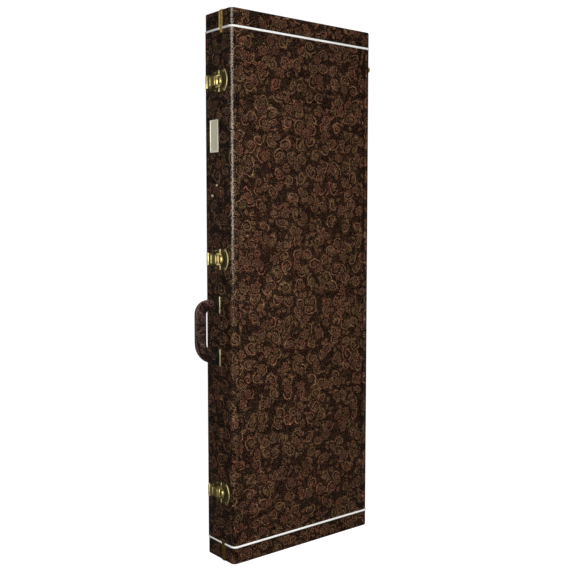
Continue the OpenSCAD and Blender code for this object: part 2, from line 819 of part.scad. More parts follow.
module hinge_leaf(parts, other) difference() {
  union() {
    for (p = parts) translate([0, knuckle_o, p[0]]) cylinder(h = p[1] - p[0], r = knuckle_r);
    difference() {
      translate([0.6, 0, -hinge_l / 2]) cube([leaf_w, leaf_t, hinge_l]);
      for (p = other) translate([0, knuckle_o, p[0] - slack])
        cylinder(h = p[1] - p[0] + 2 * slack, r = knuckle_r + slack);
    }
    for (p = parts) translate([0.6, 0, p[0]]) cube([knuckle_r - 0.6, knuckle_o, p[1] - p[0]]);
  }
  for (p = hinge_rivet_at) rivet_hole(p[0], p[1], small_shank_r, 0);
}

outer_knuckles = [[-hinge_l / 2, -mid_knuckle / 2 - slack], [mid_knuckle / 2 + slack, hinge_l / 2]];
middle_knuckle = [[-mid_knuckle / 2, mid_knuckle / 2]];

module hinge_bore(r) translate([0, knuckle_o, -hinge_l]) cylinder(h = 2 * hinge_l, r = r);

module base_hinge_leaves() color(brass_c)
  for (z = hinge_z) on_hinge_side(z) difference() {
    hinge_leaf(outer_knuckles, middle_knuckle);
    hinge_bore(hinge_pin_r);
  }

module lid_hinge_leaves() color(brass_c)
  for (z = hinge_z) on_hinge_side(z) difference() {
    mirror([1, 0, 0]) hinge_leaf(middle_knuckle, outer_knuckles);
    hinge_bore(hinge_pin_r + run_gap);
  }

module hinge_pins() color(brass_c)
  for (z = hinge_z) on_hinge_side(z)
    translate([0, knuckle_o, -hinge_l / 2]) cylinder(h = hinge_l, r = hinge_pin_r);

module base_hinge_rivets() color(brass_c)
  for (z = hinge_z, p = hinge_rivet_at)
    on_hinge_side(z) rivet(p[0], leaf_t, p[1], 2.1, small_shank_r, shank_depth + leaf_t);

module lid_hinge_rivets() color(brass_c)
  for (z = hinge_z, p = hinge_rivet_at)
    on_hinge_side(z) rivet(-p[0], leaf_t, p[1], 2.1, small_shank_r, shank_depth + leaf_t);

foot_r = 7;
foot_screw_r = 1.8;
lid_foot_at = [[-22.5, 992], [-15, 74]];
base_foot_at = [[38, 992], [38, 74]];

// A domed foot with a screw shank cast in
module foot(s, z) translate([s, 0, z]) rotate([-90, 0, 0]) {
  cylinder(h = foot_h - 4, r = foot_r);
  translate([0, 0, foot_h - 4]) intersection() {
    translate([0, 0, -(foot_r * foot_r - 16) / 8]) sphere((foot_r * foot_r + 16) / 8);
    cylinder(h = 4, r = foot_r);
  }
  translate([0, 0, -shank_depth + 0.5]) cylinder(h = shank_depth - 0.5, r = foot_screw_r);
}

module base_feet() color(brass_c) for (p = base_foot_at) on_hinge_side(0) foot(p[0], p[1]);

module lid_feet() color(brass_c) for (p = lid_foot_at) on_hinge_side(0) foot(p[0], p[1]);

// ---------- assembly ----------

base_back_board();
base_latch_side_board();
base_hinge_side_board();
base_top_board();
base_bottom_board();
base_main_cover();
base_top_cover();
base_bottom_cover();
base_piping();
base_end_trim();
base_wall_lining();
base_floor_pad();
latch_side_block();
hinge_side_block();
tail_corner_blocks();
neck_rest();
pocket_walls();
pocket_hinge_leaf();
pocket_hinge_pin();
latch_plates();
latch_plate_rivets();
latch_pivot_pins();
handle_brackets();
handle_bracket_rivets();
badge_plate();
badge_pins();
side_studs();
base_hinge_leaves();
hinge_pins();
base_hinge_rivets();
base_feet();
lid_face_board();
lid_latch_side_board();
lid_hinge_side_board();
lid_top_board();
lid_bottom_board();
lid_main_cover();
lid_top_cover();
lid_bottom_cover();
lid_piping();
lid_end_trim();
lid_wall_lining();
lid_pad();
latch_keepers();
keeper_rivets();
lid_hinge_leaves();
lid_hinge_rivets();
lid_feet();
lever_top();
lever_middle();
lever_bottom();
loop_top();
loop_middle();
loop_bottom();
handle_grip();
handle_core();
handle_pins();
pocket_lid();
pocket_lid_leaf();
pocket_tab();
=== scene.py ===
"""Hard case for an electric guitar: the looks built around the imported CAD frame."""
import contextlib
import math

import bmesh
import bpy
import numpy as np
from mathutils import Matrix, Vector


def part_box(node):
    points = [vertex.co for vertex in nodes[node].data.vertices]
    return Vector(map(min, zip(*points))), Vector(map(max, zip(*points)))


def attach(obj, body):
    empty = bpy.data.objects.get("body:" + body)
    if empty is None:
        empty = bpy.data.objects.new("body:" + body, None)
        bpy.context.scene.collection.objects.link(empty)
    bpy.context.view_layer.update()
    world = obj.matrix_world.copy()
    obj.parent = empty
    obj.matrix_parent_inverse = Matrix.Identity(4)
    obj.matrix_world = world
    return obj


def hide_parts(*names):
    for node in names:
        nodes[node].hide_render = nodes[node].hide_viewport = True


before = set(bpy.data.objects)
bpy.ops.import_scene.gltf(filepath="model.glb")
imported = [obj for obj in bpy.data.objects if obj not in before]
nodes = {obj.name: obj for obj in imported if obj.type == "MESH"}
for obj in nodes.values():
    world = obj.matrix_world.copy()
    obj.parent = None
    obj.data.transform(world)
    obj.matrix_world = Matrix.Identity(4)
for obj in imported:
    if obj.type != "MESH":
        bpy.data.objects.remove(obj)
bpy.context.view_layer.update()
TAU = 2 * math.pi
QUARTER = math.pi / 2
SKY_LIGHT = 0.04  # strength of the white surroundings as they light the case
SKY_SEEN = 1.05  # and as the camera sees them


def low(node):
    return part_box(node)[0]


def high(node):
    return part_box(node)[1]


# Planes of the shell, all taken from the CAD boxes
HALF_W = high("base_main_cover").x
FRONT = low("lid_main_cover").y
BACK = high("base_main_cover").y
LID_RIM = high("lid_main_cover").y
BASE_RIM = low("base_main_cover").y
SEAM = (LID_RIM + BASE_RIM) / 2
TOP = high("base_top_cover").z
MAIN_Z0 = low("base_main_cover").z
MAIN_Z1 = high("base_main_cover").z
BAND_TOP_Z = low("base_top_cover").z
BAND_LOW_Z = high("base_bottom_cover").z
RIM = {-1: LID_RIM, 1: BASE_RIM}
FACE = {-1: FRONT, 1: BACK}

EDGE_R = 0.010  # rounding of the long edges
END_R = 0.0022  # rounding of the edges at the ends

# ---------------------------------------- camera and light

camera_data = bpy.data.cameras.new("camera")
camera_data.sensor_width = 36
camera_data.lens = 53.66
camera = bpy.data.objects.new("camera", camera_data)
camera.location = (-1.1155, -1.3604, 0.6695)
camera.rotation_euler = (math.radians(90 - 4.307), 0, math.radians(-38.96))
bpy.context.scene.collection.objects.link(camera)
bpy.context.scene.camera = camera
bpy.context.scene.view_settings.view_transform = "Standard"


def area_light(name, spot, aim, size, watts):
    """A white rectangular light at a spot, turned towards another."""
    data = bpy.data.lights.new(name, "AREA")
    data.shape = "RECTANGLE"
    data.size, data.size_y = size
    data.energy = watts
    light = bpy.data.objects.new(name, data)
    light.location = spot
    light.rotation_euler = (Vector(aim) - Vector(spot)).to_track_quat("-Z", "Y").to_euler()
    bpy.context.scene.collection.objects.link(light)


area_light("overhead", (0, 0, 5.0), (0, 0, 0), (10.0, 10.0), 220)
area_light("key", (-0.44, -1.08, 0.66), (-0.05, 0, 0.56), (0.40, 0.80), 14.2)
area_light("glint", (-1.9, 2.3, 0.9), (-0.18, 0, 0.6), (0.5, 1.7), 9)
area_light("rear", (1.6, 2.4, 1.6), (0, 0, 0.5), (1.4, 1.6), 38)

# ---------------------------------------- shader writing


class Wire:
    """A node's output that can be used in arithmetic."""

    def __init__(self, paint, out):
        self.paint, self.out = paint, out

    def __add__(self, other):
        return self.paint.math("ADD", self, other)

    def __sub__(self, other):
        return self.paint.math("SUBTRACT", self, other)

    def __rsub__(self, other):
        return self.paint.math("SUBTRACT", other, self)

    def __mul__(self, other):
        return self.paint.math("MULTIPLY", self, other)

    def __pow__(self, other):
        return self.paint.math("POWER", self, other)

    __radd__ = __add__
    __rmul__ = __mul__


class Paint:
    """A material with one Principled shader, written a few nodes at a time."""

    def __init__(self, name, **fixed):
        self.mat = bpy.data.materials.new(name)
        self.mat.use_nodes = True
        self.tree = self.mat.node_tree
        self.shader = next(n for n in self.tree.nodes if n.type == "BSDF_PRINCIPLED")
        for socket, value in fixed.items():
            self.shader.inputs[socket.replace("_", " ")].default_value = value

    def put(self, value, socket):
        if isinstance(value, Wire):
            self.tree.links.new(value.out, socket)
        else:
            socket.default_value = value

    def node(self, kind, inputs=(), **settings):
        made = self.tree.nodes.new("ShaderNode" + kind)
        for key, value in settings.items():
            setattr(made, key, value)
        for key, value in dict(inputs).items():
            self.put(value, made.inputs[key])
        return made

    def math(self, op, a, b=None):
        values = [(i, v) for i, v in enumerate((a, b)) if v is not None]
        return Wire(self, self.node("Math", values, operation=op).outputs[0])

    def vector(self, op, a, b=None):
        made = self.node("VectorMath", [(0, a)] + ([(1, b)] if b is not None else []), operation=op)
        return Wire(self, made.outputs["Value" if op == "LENGTH" else "Vector"])

    def scaled(self, a, factor):
        made = self.node("VectorMath", [(0, a), ("Scale", factor)], operation="SCALE")
        return Wire(self, made.outputs["Vector"])

    def parts(self, v):
        made = self.node("SeparateXYZ", [(0, v)])
        return [Wire(self, out) for out in made.outputs]

    def step(self, x, a, b):
        """0 below a and 1 above b, with a smooth slope between; a may be the larger."""
        ends = [("From Min", min(a, b)), ("From Max", max(a, b))]
        made = self.node("MapRange", [("Value", x)] + ends, interpolation_type="SMOOTHSTEP")
        out = Wire(self, made.outputs["Result"])
        return out if a < b else 1 - out

    def ridge(self, x, at, half):
        """1 where x is at a value, falling to 0 on both sides."""
        return self.step(self.math("ABSOLUTE", x - at), half, 0)

    def voronoi(self, v, scale, randomness=1.0, feature="F1", dims="2D"):
        settings = [("Vector", v), ("Scale", scale), ("Randomness", randomness)]
        made = self.node("TexVoronoi", settings, voronoi_dimensions=dims, feature=feature)
        return {out.name: Wire(self, out) for out in made.outputs}

    def noise(self, v, scale, detail=2.0, rough=0.5, dims="3D", out="Fac"):
        settings = [("Vector", v), ("Scale", scale), ("Detail", detail), ("Roughness", rough)]
        made = self.node("TexNoise", settings, noise_dimensions=dims)
        return Wire(self, made.outputs[out])

    def attribute(self, name, out="Vector"):
        return Wire(self, self.node("Attribute", attribute_name=name).outputs[out])

    def here(self):
        return Wire(self, self.node("TexCoord").outputs["Object"])

    def mix(self, share, a, b):
        made = self.node("Mix", data_type="RGBA")
        for socket, value in ((made.inputs[0], share), (made.inputs[6], a), (made.inputs[7], b)):
            if isinstance(value, tuple) and len(value) == 3:
                value = (*value, 1)
            self.put(value, socket)
        return Wire(self, made.outputs[2])

    def bump(self, height, strength, distance):
        made = self.node("Bump", [("Height", height), ("Strength", strength), ("Distance", distance)])
        return Wire(self, made.outputs[0])

    def finish(self, colour, rough, normal=None):
        self.put(colour, self.shader.inputs["Base Color"])
        self.put(rough, self.shader.inputs["Roughness"])
        if normal is not None:
            self.put(normal, self.shader.inputs["Normal"])
        return self.mat


def flower_petals(p, ang, count, phase):
    """Outline of a flower with rounded petals: 1 at a petal's middle and 0 in the notch."""
    return p.math("ABSOLUTE", p.math("COSINE", ang * count * 0.5 + phase))


def motif_cells(p, place, mm, scatter):
    """A motif's cells of that size: the place in cells, its offset from its cell's middle, and three
    random numbers of the cell."""
    q = p.scaled(place, 1 / mm)
    cell = p.voronoi(q, 1.0, scatter)
    return q, p.vector("SUBTRACT", q, cell["Position"]), p.parts(cell["Color"])


def floral(p, place):
    """Embossed scrolls, flowers and leaves over a stippled ground, from a place in millimetres.
    Gives the height, a number for each motif's tint, and where the flowers are."""
    bent = place
    for wave_mm, reach_mm in ((48, 16.0), (13, 5.0)):
        drift = p.noise(place, 1 / wave_mm, 1.0, dims="2D", out="Color")
        bent = p.vector("ADD", bent, p.scaled(p.vector("SUBTRACT", drift, (0.5, 0.5, 0.5)), reach_mm))

    # scrolls: a log spiral in each cell, with a lobed outer edge
    q, off, (hand, start, hue) = motif_cells(p, bent, 31.0, 0.85)
    edge = p.voronoi(q, 1.0, 0.85, "DISTANCE_TO_EDGE")["Distance"]
    off_x, off_y, _ = p.parts(off)
    radius = p.math("MAXIMUM", p.vector("LENGTH", off), 0.01)
    turn = p.math("SIGN", hand - 0.5)
    ang = p.math("ARCTAN2", off_y, off_x)
    swirl = turn * ang * (1 / TAU) + p.math("LOGARITHM", radius, math.e) * 1.15 + start
    lobes = p.math("ABSOLUTE", p.math("SINE", ang * 3.5 + radius * 9.0))
    arm = p.math("FRACT", swirl + lobes * 0.09)
    lip = p.step(arm, 0.22, 0.05) * p.step(arm, 0.0, 0.03)
    vane = p.step(arm, 0.85, 0.2)
    veins = p.step(p.math("SINE", ang * 14.0 + arm * 9.0 * turn), 0.1, 0.9)
    echo = p.ridge(arm, 0.46, 0.09)
    inside = p.step(edge, 0.01, 0.05) * p.step(radius + lobes * 0.07, 0.54, 0.47)
    scroll = (vane * 0.42 + lip * 0.46 + vane * veins * 0.20 + echo * 0.22) * inside
    field = p.noise(place, 1 / 30, 1.0, dims="2D")
    shown = p.step(p.noise(place, 1 / 19, 0.0, dims="2D"), 0.40, 0.60)
    contour = p.ridge(p.math("FRACT", field * 11.0), 0.5, 0.20) * shown
    stem = p.math("MAXIMUM", p.ridge(field, 0.44, 0.012), contour * 0.62)

    # leaves between the scrolls
    _, leaf_off, (lean, chance, _) = motif_cells(p, bent, 15.0, 0.9)
    leaf_x, leaf_y, _ = p.parts(leaf_off)
    spin = lean * TAU
    lean_cos, lean_sin = p.math("COSINE", spin), p.math("SINE", spin)
    leaf_along, leaf_across = leaf_x * lean_cos + leaf_y * lean_sin, leaf_y * lean_cos - leaf_x * lean_sin
    bow = leaf_along * leaf_along
    off_rib = leaf_across + bow * 0.5
    blade = p.step(0.26 - bow * 1.15 - p.math("ABSOLUTE", off_rib), 0.0, 0.07)
    rib = p.ridge(off_rib, 0.0, 0.05)
    leaf = blade * (0.66 - rib * 0.5) * p.step(chance, 0.25, 0.35)

    # flowers: five to eight petals, a second ring inside, and a dotted button
    bloom_mm = 52.0
    shifted = p.vector("ADD", bent, (19.0, 7.0, 0.0))
    _, bloom_off, (petal_share, spread, bloom_hue) = motif_cells(p, shifted, bloom_mm, 0.62)
    bloom_off = p.scaled(bloom_off, bloom_mm)
    bloom_x, bloom_y, _ = p.parts(bloom_off)
    bloom_r = p.vector("LENGTH", bloom_off)
    bloom_ang = p.math("ARCTAN2", bloom_y, bloom_x)
    count = p.math("FLOOR", petal_share * 3.99) + 5
    petal = flower_petals(p, bloom_ang, count, spread * 6.0)
    size = 9.6 + spread * 3.0
    rim = size * (0.56 + petal ** 0.75 * 0.44)
    body = p.step(rim - bloom_r, 0.0, 0.9)
    notch = p.step(petal, 0.0, 0.30)
    ring = p.ridge(bloom_r - rim * 0.58, 0.0, 0.75)
    crown = p.ridge(rim - bloom_r, 0.7, 0.8)
    button = p.step(bloom_r, 2.6, 1.9)
    rose = p.step(bloom_hue, 0.45, 0.5)
    relief = 0.60 + crown * 0.25 - ring * (0.25 + rose * 0.2)
    bloom_h = body * relief * (0.55 + notch * 0.45) - button * 0.22
    clear = p.step(bloom_r - rim, 2.6, 0.6) * (1 - body)

    # the ground's stipple
    dots = p.voronoi(place, 1 / 2.6, 1.0)["Distance"]
    stipple = p.step(dots, 0.45, 0.12)

    # fine cut lines that follow the drift of the scrolls, and small bright specks
    flow = p.noise(bent, 1 / 10.5, 0.0, dims="2D")
    cuts = p.ridge(p.math("FRACT", flow * 9.0), 0.5, 0.27)
    speck_cell = p.voronoi(place, 1 / 4.2, 1.0)
    speck = p.step(speck_cell["Distance"], 0.26, 0.10) * p.step(p.parts(speck_cell["Color"])[0], 0.62, 0.70)

    ground = stipple * 0.30 + cuts * 0.34
    backing = p.math("MAXIMUM", leaf, ground)
    motif = p.math("MAXIMUM", p.math("MAXIMUM", scroll, stem * 0.70), backing)
    motif = motif * (1 - body) * (1 - clear * 0.85)
    height = p.math("MAXIMUM", motif, bloom_h) * (0.66 + cuts * 0.46) + speck * 0.26
    tint = hue * (1 - body) + bloom_hue * body
    return height, tint, body


def vinyl(name, dark, light, wear_and_highlight_colour, tinted=0.65, rough=0.40):
    """Embossed vinyl covering: dark ground, lighter rubbed motifs, worn edges and a painted highlight along
    the upper part of the lid's latch-side edge.
    """
    p = Paint(name, Specular_IOR_Level=0.045)
    place = p.scaled(p.attribute("wrap"), 1000.0)
    height, tint, body = floral(p, place)
    cloud = p.noise(place, 1 / 70, 2.0, dims="2D")
    grain = p.noise(place, 1 / 0.9, 2.0, 0.6, dims="2D")
    share = p.step(height + (grain - 0.5) * 1.1, 0.08, 1.05) ** 2.1
    patch = p.noise(place, 1 / 16, 1.0, dims="2D")
    tint = tint * 0.45 + p.step(patch, 0.30, 0.70) * 0.55
    red, olive = (0.50, 0.166, 0.098), (0.37, 0.230, 0.078)
    lit = p.mix(p.step(tint, 0.55, 0.85) * tinted, light, red)
    lit = p.mix(p.step(tint, 0.40, 0.15) * tinted, lit, olive)
    lit = p.mix(body * 0.40, lit, (0.54, 0.235, 0.135))
    colour = p.mix(share * (0.70 + cloud * 0.6), dark, lit)
    # pale band along the rounded edges: wear, and on the lid's latch-side edge mostly a painted highlight
    wear_and_highlight = p.attribute("wear_and_highlight", "Fac")
    beads = p.noise(place, 1 / 2.4, 1.0, dims="2D")
    wear_and_highlight_share = p.step(wear_and_highlight + (beads - 0.5) * 2.2 + (height - 0.4) * 0.3, 0.36, 1.30)
    colour = p.mix(wear_and_highlight_share, colour, wear_and_highlight_colour)
    roughness = rough + grain * 0.14 - height * 0.10 + wear_and_highlight_share * 0.15
    normal = p.bump(height + grain * 0.10, 0.85, 0.0007)
    return p.finish(colour, roughness, normal)


def brass(name, base, patina_and_shade_colour, rough, shade=0.55, patina_and_shade_heights=None, darker_below=None):
    """Antiqued brass: a warm metal with dark patina in patches, patina with painted shade in low places, and
    fine scratches.
    The low-place heights say how far out from the case side the patina and painted shade end and the rubbed
    metal begins."""
    p = Paint(name, Metallic=1.0)
    spot = p.here()
    patches = p.noise(spot, 160.0, 3.0, 0.6)
    fine = p.noise(spot, 1400.0, 2.0, 0.6)
    brushed = p.noise(p.vector("MULTIPLY", spot, (1.0, 1.0, 0.06)), 2600.0, 2.0, 0.5)
    patina_and_shade = p.step(patches + (fine - 0.5) * 0.3, 0.42, 0.72)
    # low places near the case side: patina with painted shade, and the raised metal bright
    if patina_and_shade_heights:
        lift = p.math("ABSOLUTE", p.parts(spot)[0]) - HALF_W
        patina_and_shade = p.math("MAXIMUM", patina_and_shade * 0.6, p.step(lift + (fine - 0.5) * 0.0008, patina_and_shade_heights[1], patina_and_shade_heights[0]))
    # darker towards the bottom, below the given height
    if darker_below:
        patina_and_shade = p.math("MAXIMUM", patina_and_shade, p.step(p.parts(spot)[2], darker_below, darker_below * 0.3) * 1.6)
    colour = p.mix(patina_and_shade * shade, base, patina_and_shade_colour)
    roughness = rough + patina_and_shade * 0.22 + (brushed - 0.5) * 0.16
    normal = p.bump(fine * 0.5 + brushed * 0.5, 0.12, 0.0002)
    return p.finish(colour, roughness, normal)


def shaded_bracket(name, base, lip_y):
    """The handle brackets: black as painted shade under the handle's legs, with the bare brass showing along
    their front lip.
    """
    p = Paint(name, Metallic=1.0)
    spot = p.here()
    fine = p.noise(spot, 1200.0, 2.0, 0.6)
    worn = p.step(p.parts(spot)[1] + (fine - 0.5) * 0.0006, lip_y + 0.0004, lip_y - 0.0004)
    # black all over as painted shade under the handle's legs, brass only along the front lip
    return p.finish(p.mix(worn, (0.018, 0.014, 0.010), base), 0.42 + fine * 0.1,
                    p.bump(fine, 0.2, 0.0002))


COVER = vinyl("embossed_vinyl", (0.0036, 0.0011, 0.0005), (0.48, 0.245, 0.128), (0.44, 0.38, 0.31))
BRASS = brass("antique_brass", (0.84, 0.62, 0.21), (0.19, 0.125, 0.032), 0.33, 0.55)
# latches, levers, loops and badge: painted shade with patina in their low places
LATCH_BRASS = brass("latch_brass", (1.0, 0.86, 0.42), (0.070, 0.050, 0.014), 0.46, 0.94,
                    patina_and_shade_heights=(0.0013, 0.0020))
LEVER_BRASS = brass("lever_brass", (1.0, 0.84, 0.38), (0.15, 0.110, 0.028), 0.42, 0.90,
                    patina_and_shade_heights=(0.0091, 0.0097))
# the end strips are darker towards the bottom of the case
STRIP_BRASS = brass("strip_brass", (0.90, 0.64, 0.20), (0.13, 0.058, 0.012), 0.33, 0.58, darker_below=0.25)
STUD_BRASS = brass("stud_brass", (1.0, 0.88, 0.46), (0.46, 0.34, 0.10), 0.30, 0.4)
NOSE_BRASS = brass("nose_brass", (0.80, 0.62, 0.22), (0.30, 0.22, 0.06), 0.34, 0.6)
LOOP_BRASS = brass("loop_brass", (0.78, 0.62, 0.24), (0.070, 0.050, 0.014), 0.24, 0.92, patina_and_shade_heights=(0.0030, 0.0042))
BADGE_BRASS = brass("badge_brass", (1.0, 0.97, 0.84), (0.78, 0.70, 0.48), 0.48, 0.5, patina_and_shade_heights=(0.0009, 0.0014))
BRACKET_LIP = 0.0036  # how far back the bare brass front lip reaches
BRACKET = shaded_bracket("bracket_painted_shade", (1.0, 0.90, 0.48), low("handle_brackets").y + BRACKET_LIP)


def plush(name, deep, tip, weave=900.0):
    """Short-pile plush: soft sheen, pile direction in patches and fine fibres."""
    p = Paint(name, Sheen_Weight=0.22, Sheen_Roughness=0.45, Sheen_Tint=(0.9, 0.25, 0.30, 1),
              Specular_IOR_Level=0.12)
    spot = p.here()
    nap = p.noise(spot, 26.0, 3.0, 0.55)
    fibre = p.noise(spot, weave, 2.0, 0.7)
    clumps = p.voronoi(spot, weave * 0.35, 1.0, dims="3D")["Distance"]
    share = p.step(nap * 0.6 + fibre * 0.5 + clumps * 0.25, 0.42, 0.95)
    colour = p.mix(share, deep, tip)
    normal = p.bump(fibre * 0.6 + clumps * 0.6, 0.6, 0.0006)
    return p.finish(colour, 0.82 + fibre * 0.16, normal)


def plywood(name):
    """Birch plywood: pale long grain with darker streaks."""
    p = Paint(name)
    spot = p.vector("MULTIPLY", p.here(), (1.0, 1.0, 0.05))
    grain = p.noise(spot, 320.0, 4.0, 0.6)
    bands = p.noise(spot, 60.0, 2.0, 0.5)
    colour = p.mix(p.step(grain * 0.6 + bands * 0.4, 0.35, 0.7), (0.36, 0.22, 0.11), (0.58, 0.41, 0.24))
    return p.finish(colour, 0.55 + grain * 0.25, p.bump(grain, 0.3, 0.0003))


def cord_vinyl(name, pale, soil):
    """Cream piping: smooth vinyl over a cord, a little soiled and creased across."""
    p = Paint(name, Specular_IOR_Level=0.4)
    spot = p.here()
    dirt = p.noise(spot, 70.0, 4.0, 0.65)
    crease = p.noise(spot, 700.0, 2.0, 0.5)
    colour = p.mix(p.step(dirt, 0.60, 0.82) * 0.55, pale, soil)
    return p.finish(colour, 0.42 + crease * 0.2, p.bump(crease, 0.35, 0.0003))


def ribbon(name, dark, light):
    """Woven ribbon with a fine rib across it."""
    p = Paint(name, Sheen_Weight=0.3)
    x, y, z = p.parts(p.here())
    rib = p.math("SINE", z * 5200.0) * 0.5 + 0.5
    thread = p.math("SINE", (x + y) * 7800.0) * 0.5 + 0.5
    weave = rib * 0.6 + thread * 0.4
    return p.finish(p.mix(weave, dark, light), 0.6 + weave * 0.2, p.bump(weave, 0.5, 0.0002))


STEEL = brass("handle_strap_steel", (0.40, 0.40, 0.39), (0.17, 0.16, 0.15), 0.34)
WOOD = plywood("birch_ply")
PIPING = cord_vinyl("cream_piping", (1.0, 0.99, 0.96), (0.90, 0.84, 0.74))
PLUSH = plush("crimson_plush", (0.10, 0.007, 0.012), (0.22, 0.020, 0.030))
WELT = plush("gold_cord", (0.30, 0.14, 0.035), (0.62, 0.36, 0.12), 1300.0)
RIBBON = ribbon("pull_ribbon", (0.08, 0.01, 0.015), (0.26, 0.04, 0.05))
THREAD = ribbon("waxed_thread", (0.10, 0.045, 0.025), (0.30, 0.16, 0.09))
GRIP = vinyl("grip_vinyl", (0.007, 0.003, 0.0024), (0.25, 0.145, 0.108), (0.22, 0.14, 0.11), 0.25, 0.42)

# ---------------------------------------- pieces


@contextlib.contextmanager
def edited(mesh):
    """A mesh opened for editing, and written back afterwards."""
    bm = bmesh.new()
    bm.from_mesh(mesh)
    yield bm
    bm.to_mesh(mesh)
    bm.free()


def outward(mesh):
    """Makes every closed part's faces look outwards."""
    with edited(mesh) as bm:
        bmesh.ops.recalc_face_normals(bm, faces=bm.faces)


def piece(name, verts, faces, body, material, stands_for=(), attributes=(), closed=True):
    """A new mesh piece in the frame, riding on a CAD body."""
    mesh = bpy.data.meshes.new(name)
    mesh.from_pydata([tuple(v) for v in verts], [], [tuple(f) for f in faces])
    for key, values in dict(attributes).items():
        kind, field = ("FLOAT", "value") if key == "wear_and_highlight" else ("FLOAT_VECTOR", "vector")
        made = mesh.attributes.new(key, kind, "POINT")
        made.data.foreach_set(field, np.array(values, np.float32).ravel())
    made = dress(name, mesh, body, material, stands_for)
    if closed:
        outward(mesh)
    return made


def dress(name, mesh, body, material, stands_for=()):
    """An object with that mesh, with its material, body and the CAD nodes it stands for."""
    mesh.materials.clear()
    mesh.materials.append(material)
    mesh.validate()
    mesh.shade_smooth()
    made = bpy.data.objects.new(name, mesh)
    bpy.context.scene.collection.objects.link(made)
    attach(made, body)
    if stands_for:
        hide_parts(*stands_for)
    return made


def applied(obj, **kinds):
    """Runs modifiers on a piece and keeps their result as its mesh."""
    for kind, settings in kinds.items():
        modifier = obj.modifiers.new(kind, kind)
        for key, value in settings.items():
            setattr(modifier, key, value)
    graph = bpy.context.evaluated_depsgraph_get()
    mesh = bpy.data.meshes.new_from_object(obj.evaluated_get(graph))
    obj.modifiers.clear()
    obj.data = mesh


def grid_faces(rows, columns, wrap_rows=False, wrap_columns=False, first=0):
    """Four-sided faces between rows of points, the first point having that number."""
    faces = []
    for i in range(rows if wrap_rows else rows - 1):
        for j in range(columns if wrap_columns else columns - 1):
            a, b = i * columns + j, i * columns + (j + 1) % columns
            c, d = ((i + 1) % rows) * columns + (j + 1) % columns, ((i + 1) % rows) * columns + j
            faces.append((first + a, first + b, first + c, first + d))
    return faces


def cleaned(bm, merge_flat):
    """Joins doubled points, and merges faces that lie in one plane if asked."""
    bmesh.ops.remove_doubles(bm, verts=bm.verts, dist=2e-6)
    if merge_flat:
        bmesh.ops.dissolve_limit(bm, angle_limit=0.02, verts=bm.verts, edges=bm.edges)


def own_mesh(node, merge_flat):
    """A clean copy of a CAD node's mesh."""
    mesh = nodes[node].data.copy()
    with edited(mesh) as bm:
        cleaned(bm, merge_flat)
    for layer in list(mesh.uv_layers):
        mesh.uv_layers.remove(layer)
    return mesh


def refined(node, name, body, material, bevel):
    """A CAD node's own shape with its flat faces merged and its edges rounded."""
    made = dress(name, own_mesh(node, True), body, material, (node,))
    applied(made, BEVEL={"width": bevel, "segments": 2, "limit_method": "ANGLE",
                         "angle_limit": math.radians(32), "use_clamp_overlap": True})
    made.data.shade_smooth()
    made.data.set_sharp_from_angle(angle=math.radians(38))


# ---------------------------------------- covering


def outline(side, inset=0.0, rim=None):
    """Points round the lid's (-1) or the base's (+1) half of the shell, from the seam on the
    latch side to the seam on the hinge side: length along it, x, y and the outward normal."""
    rim = RIM[side] if rim is None else rim
    far = FACE[side]
    depth = abs(far - rim)
    points = [(d, -HALF_W, rim + side * d, -1.0, 0.0) for d in np.linspace(0, depth - EDGE_R, 6)]
    length = depth - EDGE_R
    for corner in (-1, 1):
        cx, cy = corner * (HALF_W - EDGE_R), far - side * EDGE_R
        for k in range(1, 13):
            a = k / 12 * QUARTER
            nx, ny = (math.cos(a), math.sin(a)) if corner < 0 else (math.sin(a), math.cos(a))
            nx, ny = corner * nx, side * ny
            points.append((length + EDGE_R * a, cx + EDGE_R * nx, cy + EDGE_R * ny, nx, ny))
        length += EDGE_R * QUARTER
        if corner < 0:
            run = 2 * (HALF_W - EDGE_R)
            points += [(length + d, -HALF_W + EDGE_R + d, far, 0.0, float(side))
                       for d in np.linspace(0, run, 30)[1:]]
            length += run
    points += [(length + d, HALF_W, far - side * (EDGE_R + d), 1.0, 0.0)
               for d in np.linspace(0, depth - EDGE_R, 6)[1:]]
    return [(u, x - inset * nx, y - inset * ny, nx, ny) for u, x, y, nx, ny in points]


def edge_middle_at(x, y):
    """How near a point is to the middle of a rounded long edge, 0 to 1."""
    dx, dy = HALF_W - abs(x), min(abs(y - FRONT), abs(y - BACK))
    off = abs(dx - dy) / EDGE_R
    within = max(dx, dy) < EDGE_R * 1.02
    return max(0.0, 1.0 - off * 1.45) if within else 0.0


def smooth(t):
    """A share from 0 to 1 with a gentle start and end."""
    t = min(max(t, 0.0), 1.0)
    return t * t * (3 - 2 * t)


def wear_and_highlight_level(x, y, z):
    """The rounded edge between the lid's face and the latch side gets a little wear and a painted highlight
    that grows higher up; the other long edges are plainly worn.
    """
    return 0.18 + 0.95 * smooth((z / TOP - 0.40) / 0.25) if x < 0 and y < SEAM else 0.30


LAP = 0.006  # how far a side's panel reaches past the rounded edge onto the face
SHEET = 0.0009  # thickness of the covering
TUCK = ((0.0, 0.0011), (0.0004, 0.0005), (0.0011, 0.0001))  # a cut edge, turned in: way along and depth
END_RUB, END_NEAR = 0.7, 0.0028  # wear along the edges at the ends, and how far from an end it reaches


def wrapped(column, rows, side, end=None):
    """A covering's points, the places on its pattern, and its wear with the painted edge highlight, from an
    outline at each height.
    """
    verts, wrap, wear_and_highlight = [], [], []
    for z, inset in rows:
        worn = END_RUB if end is not None and abs(z - end) < END_NEAR and inset > 0.0004 else 0.0
        for u, x, y, nx, ny in column:
            verts.append((x - inset * nx, y - inset * ny, z))
            wrap.append((-side * u, z, 0.0))
            wear_and_highlight.append(max(edge_middle_at(x, y) * wear_and_highlight_level(x, y, z), worn))
    return verts, wrap, wear_and_highlight


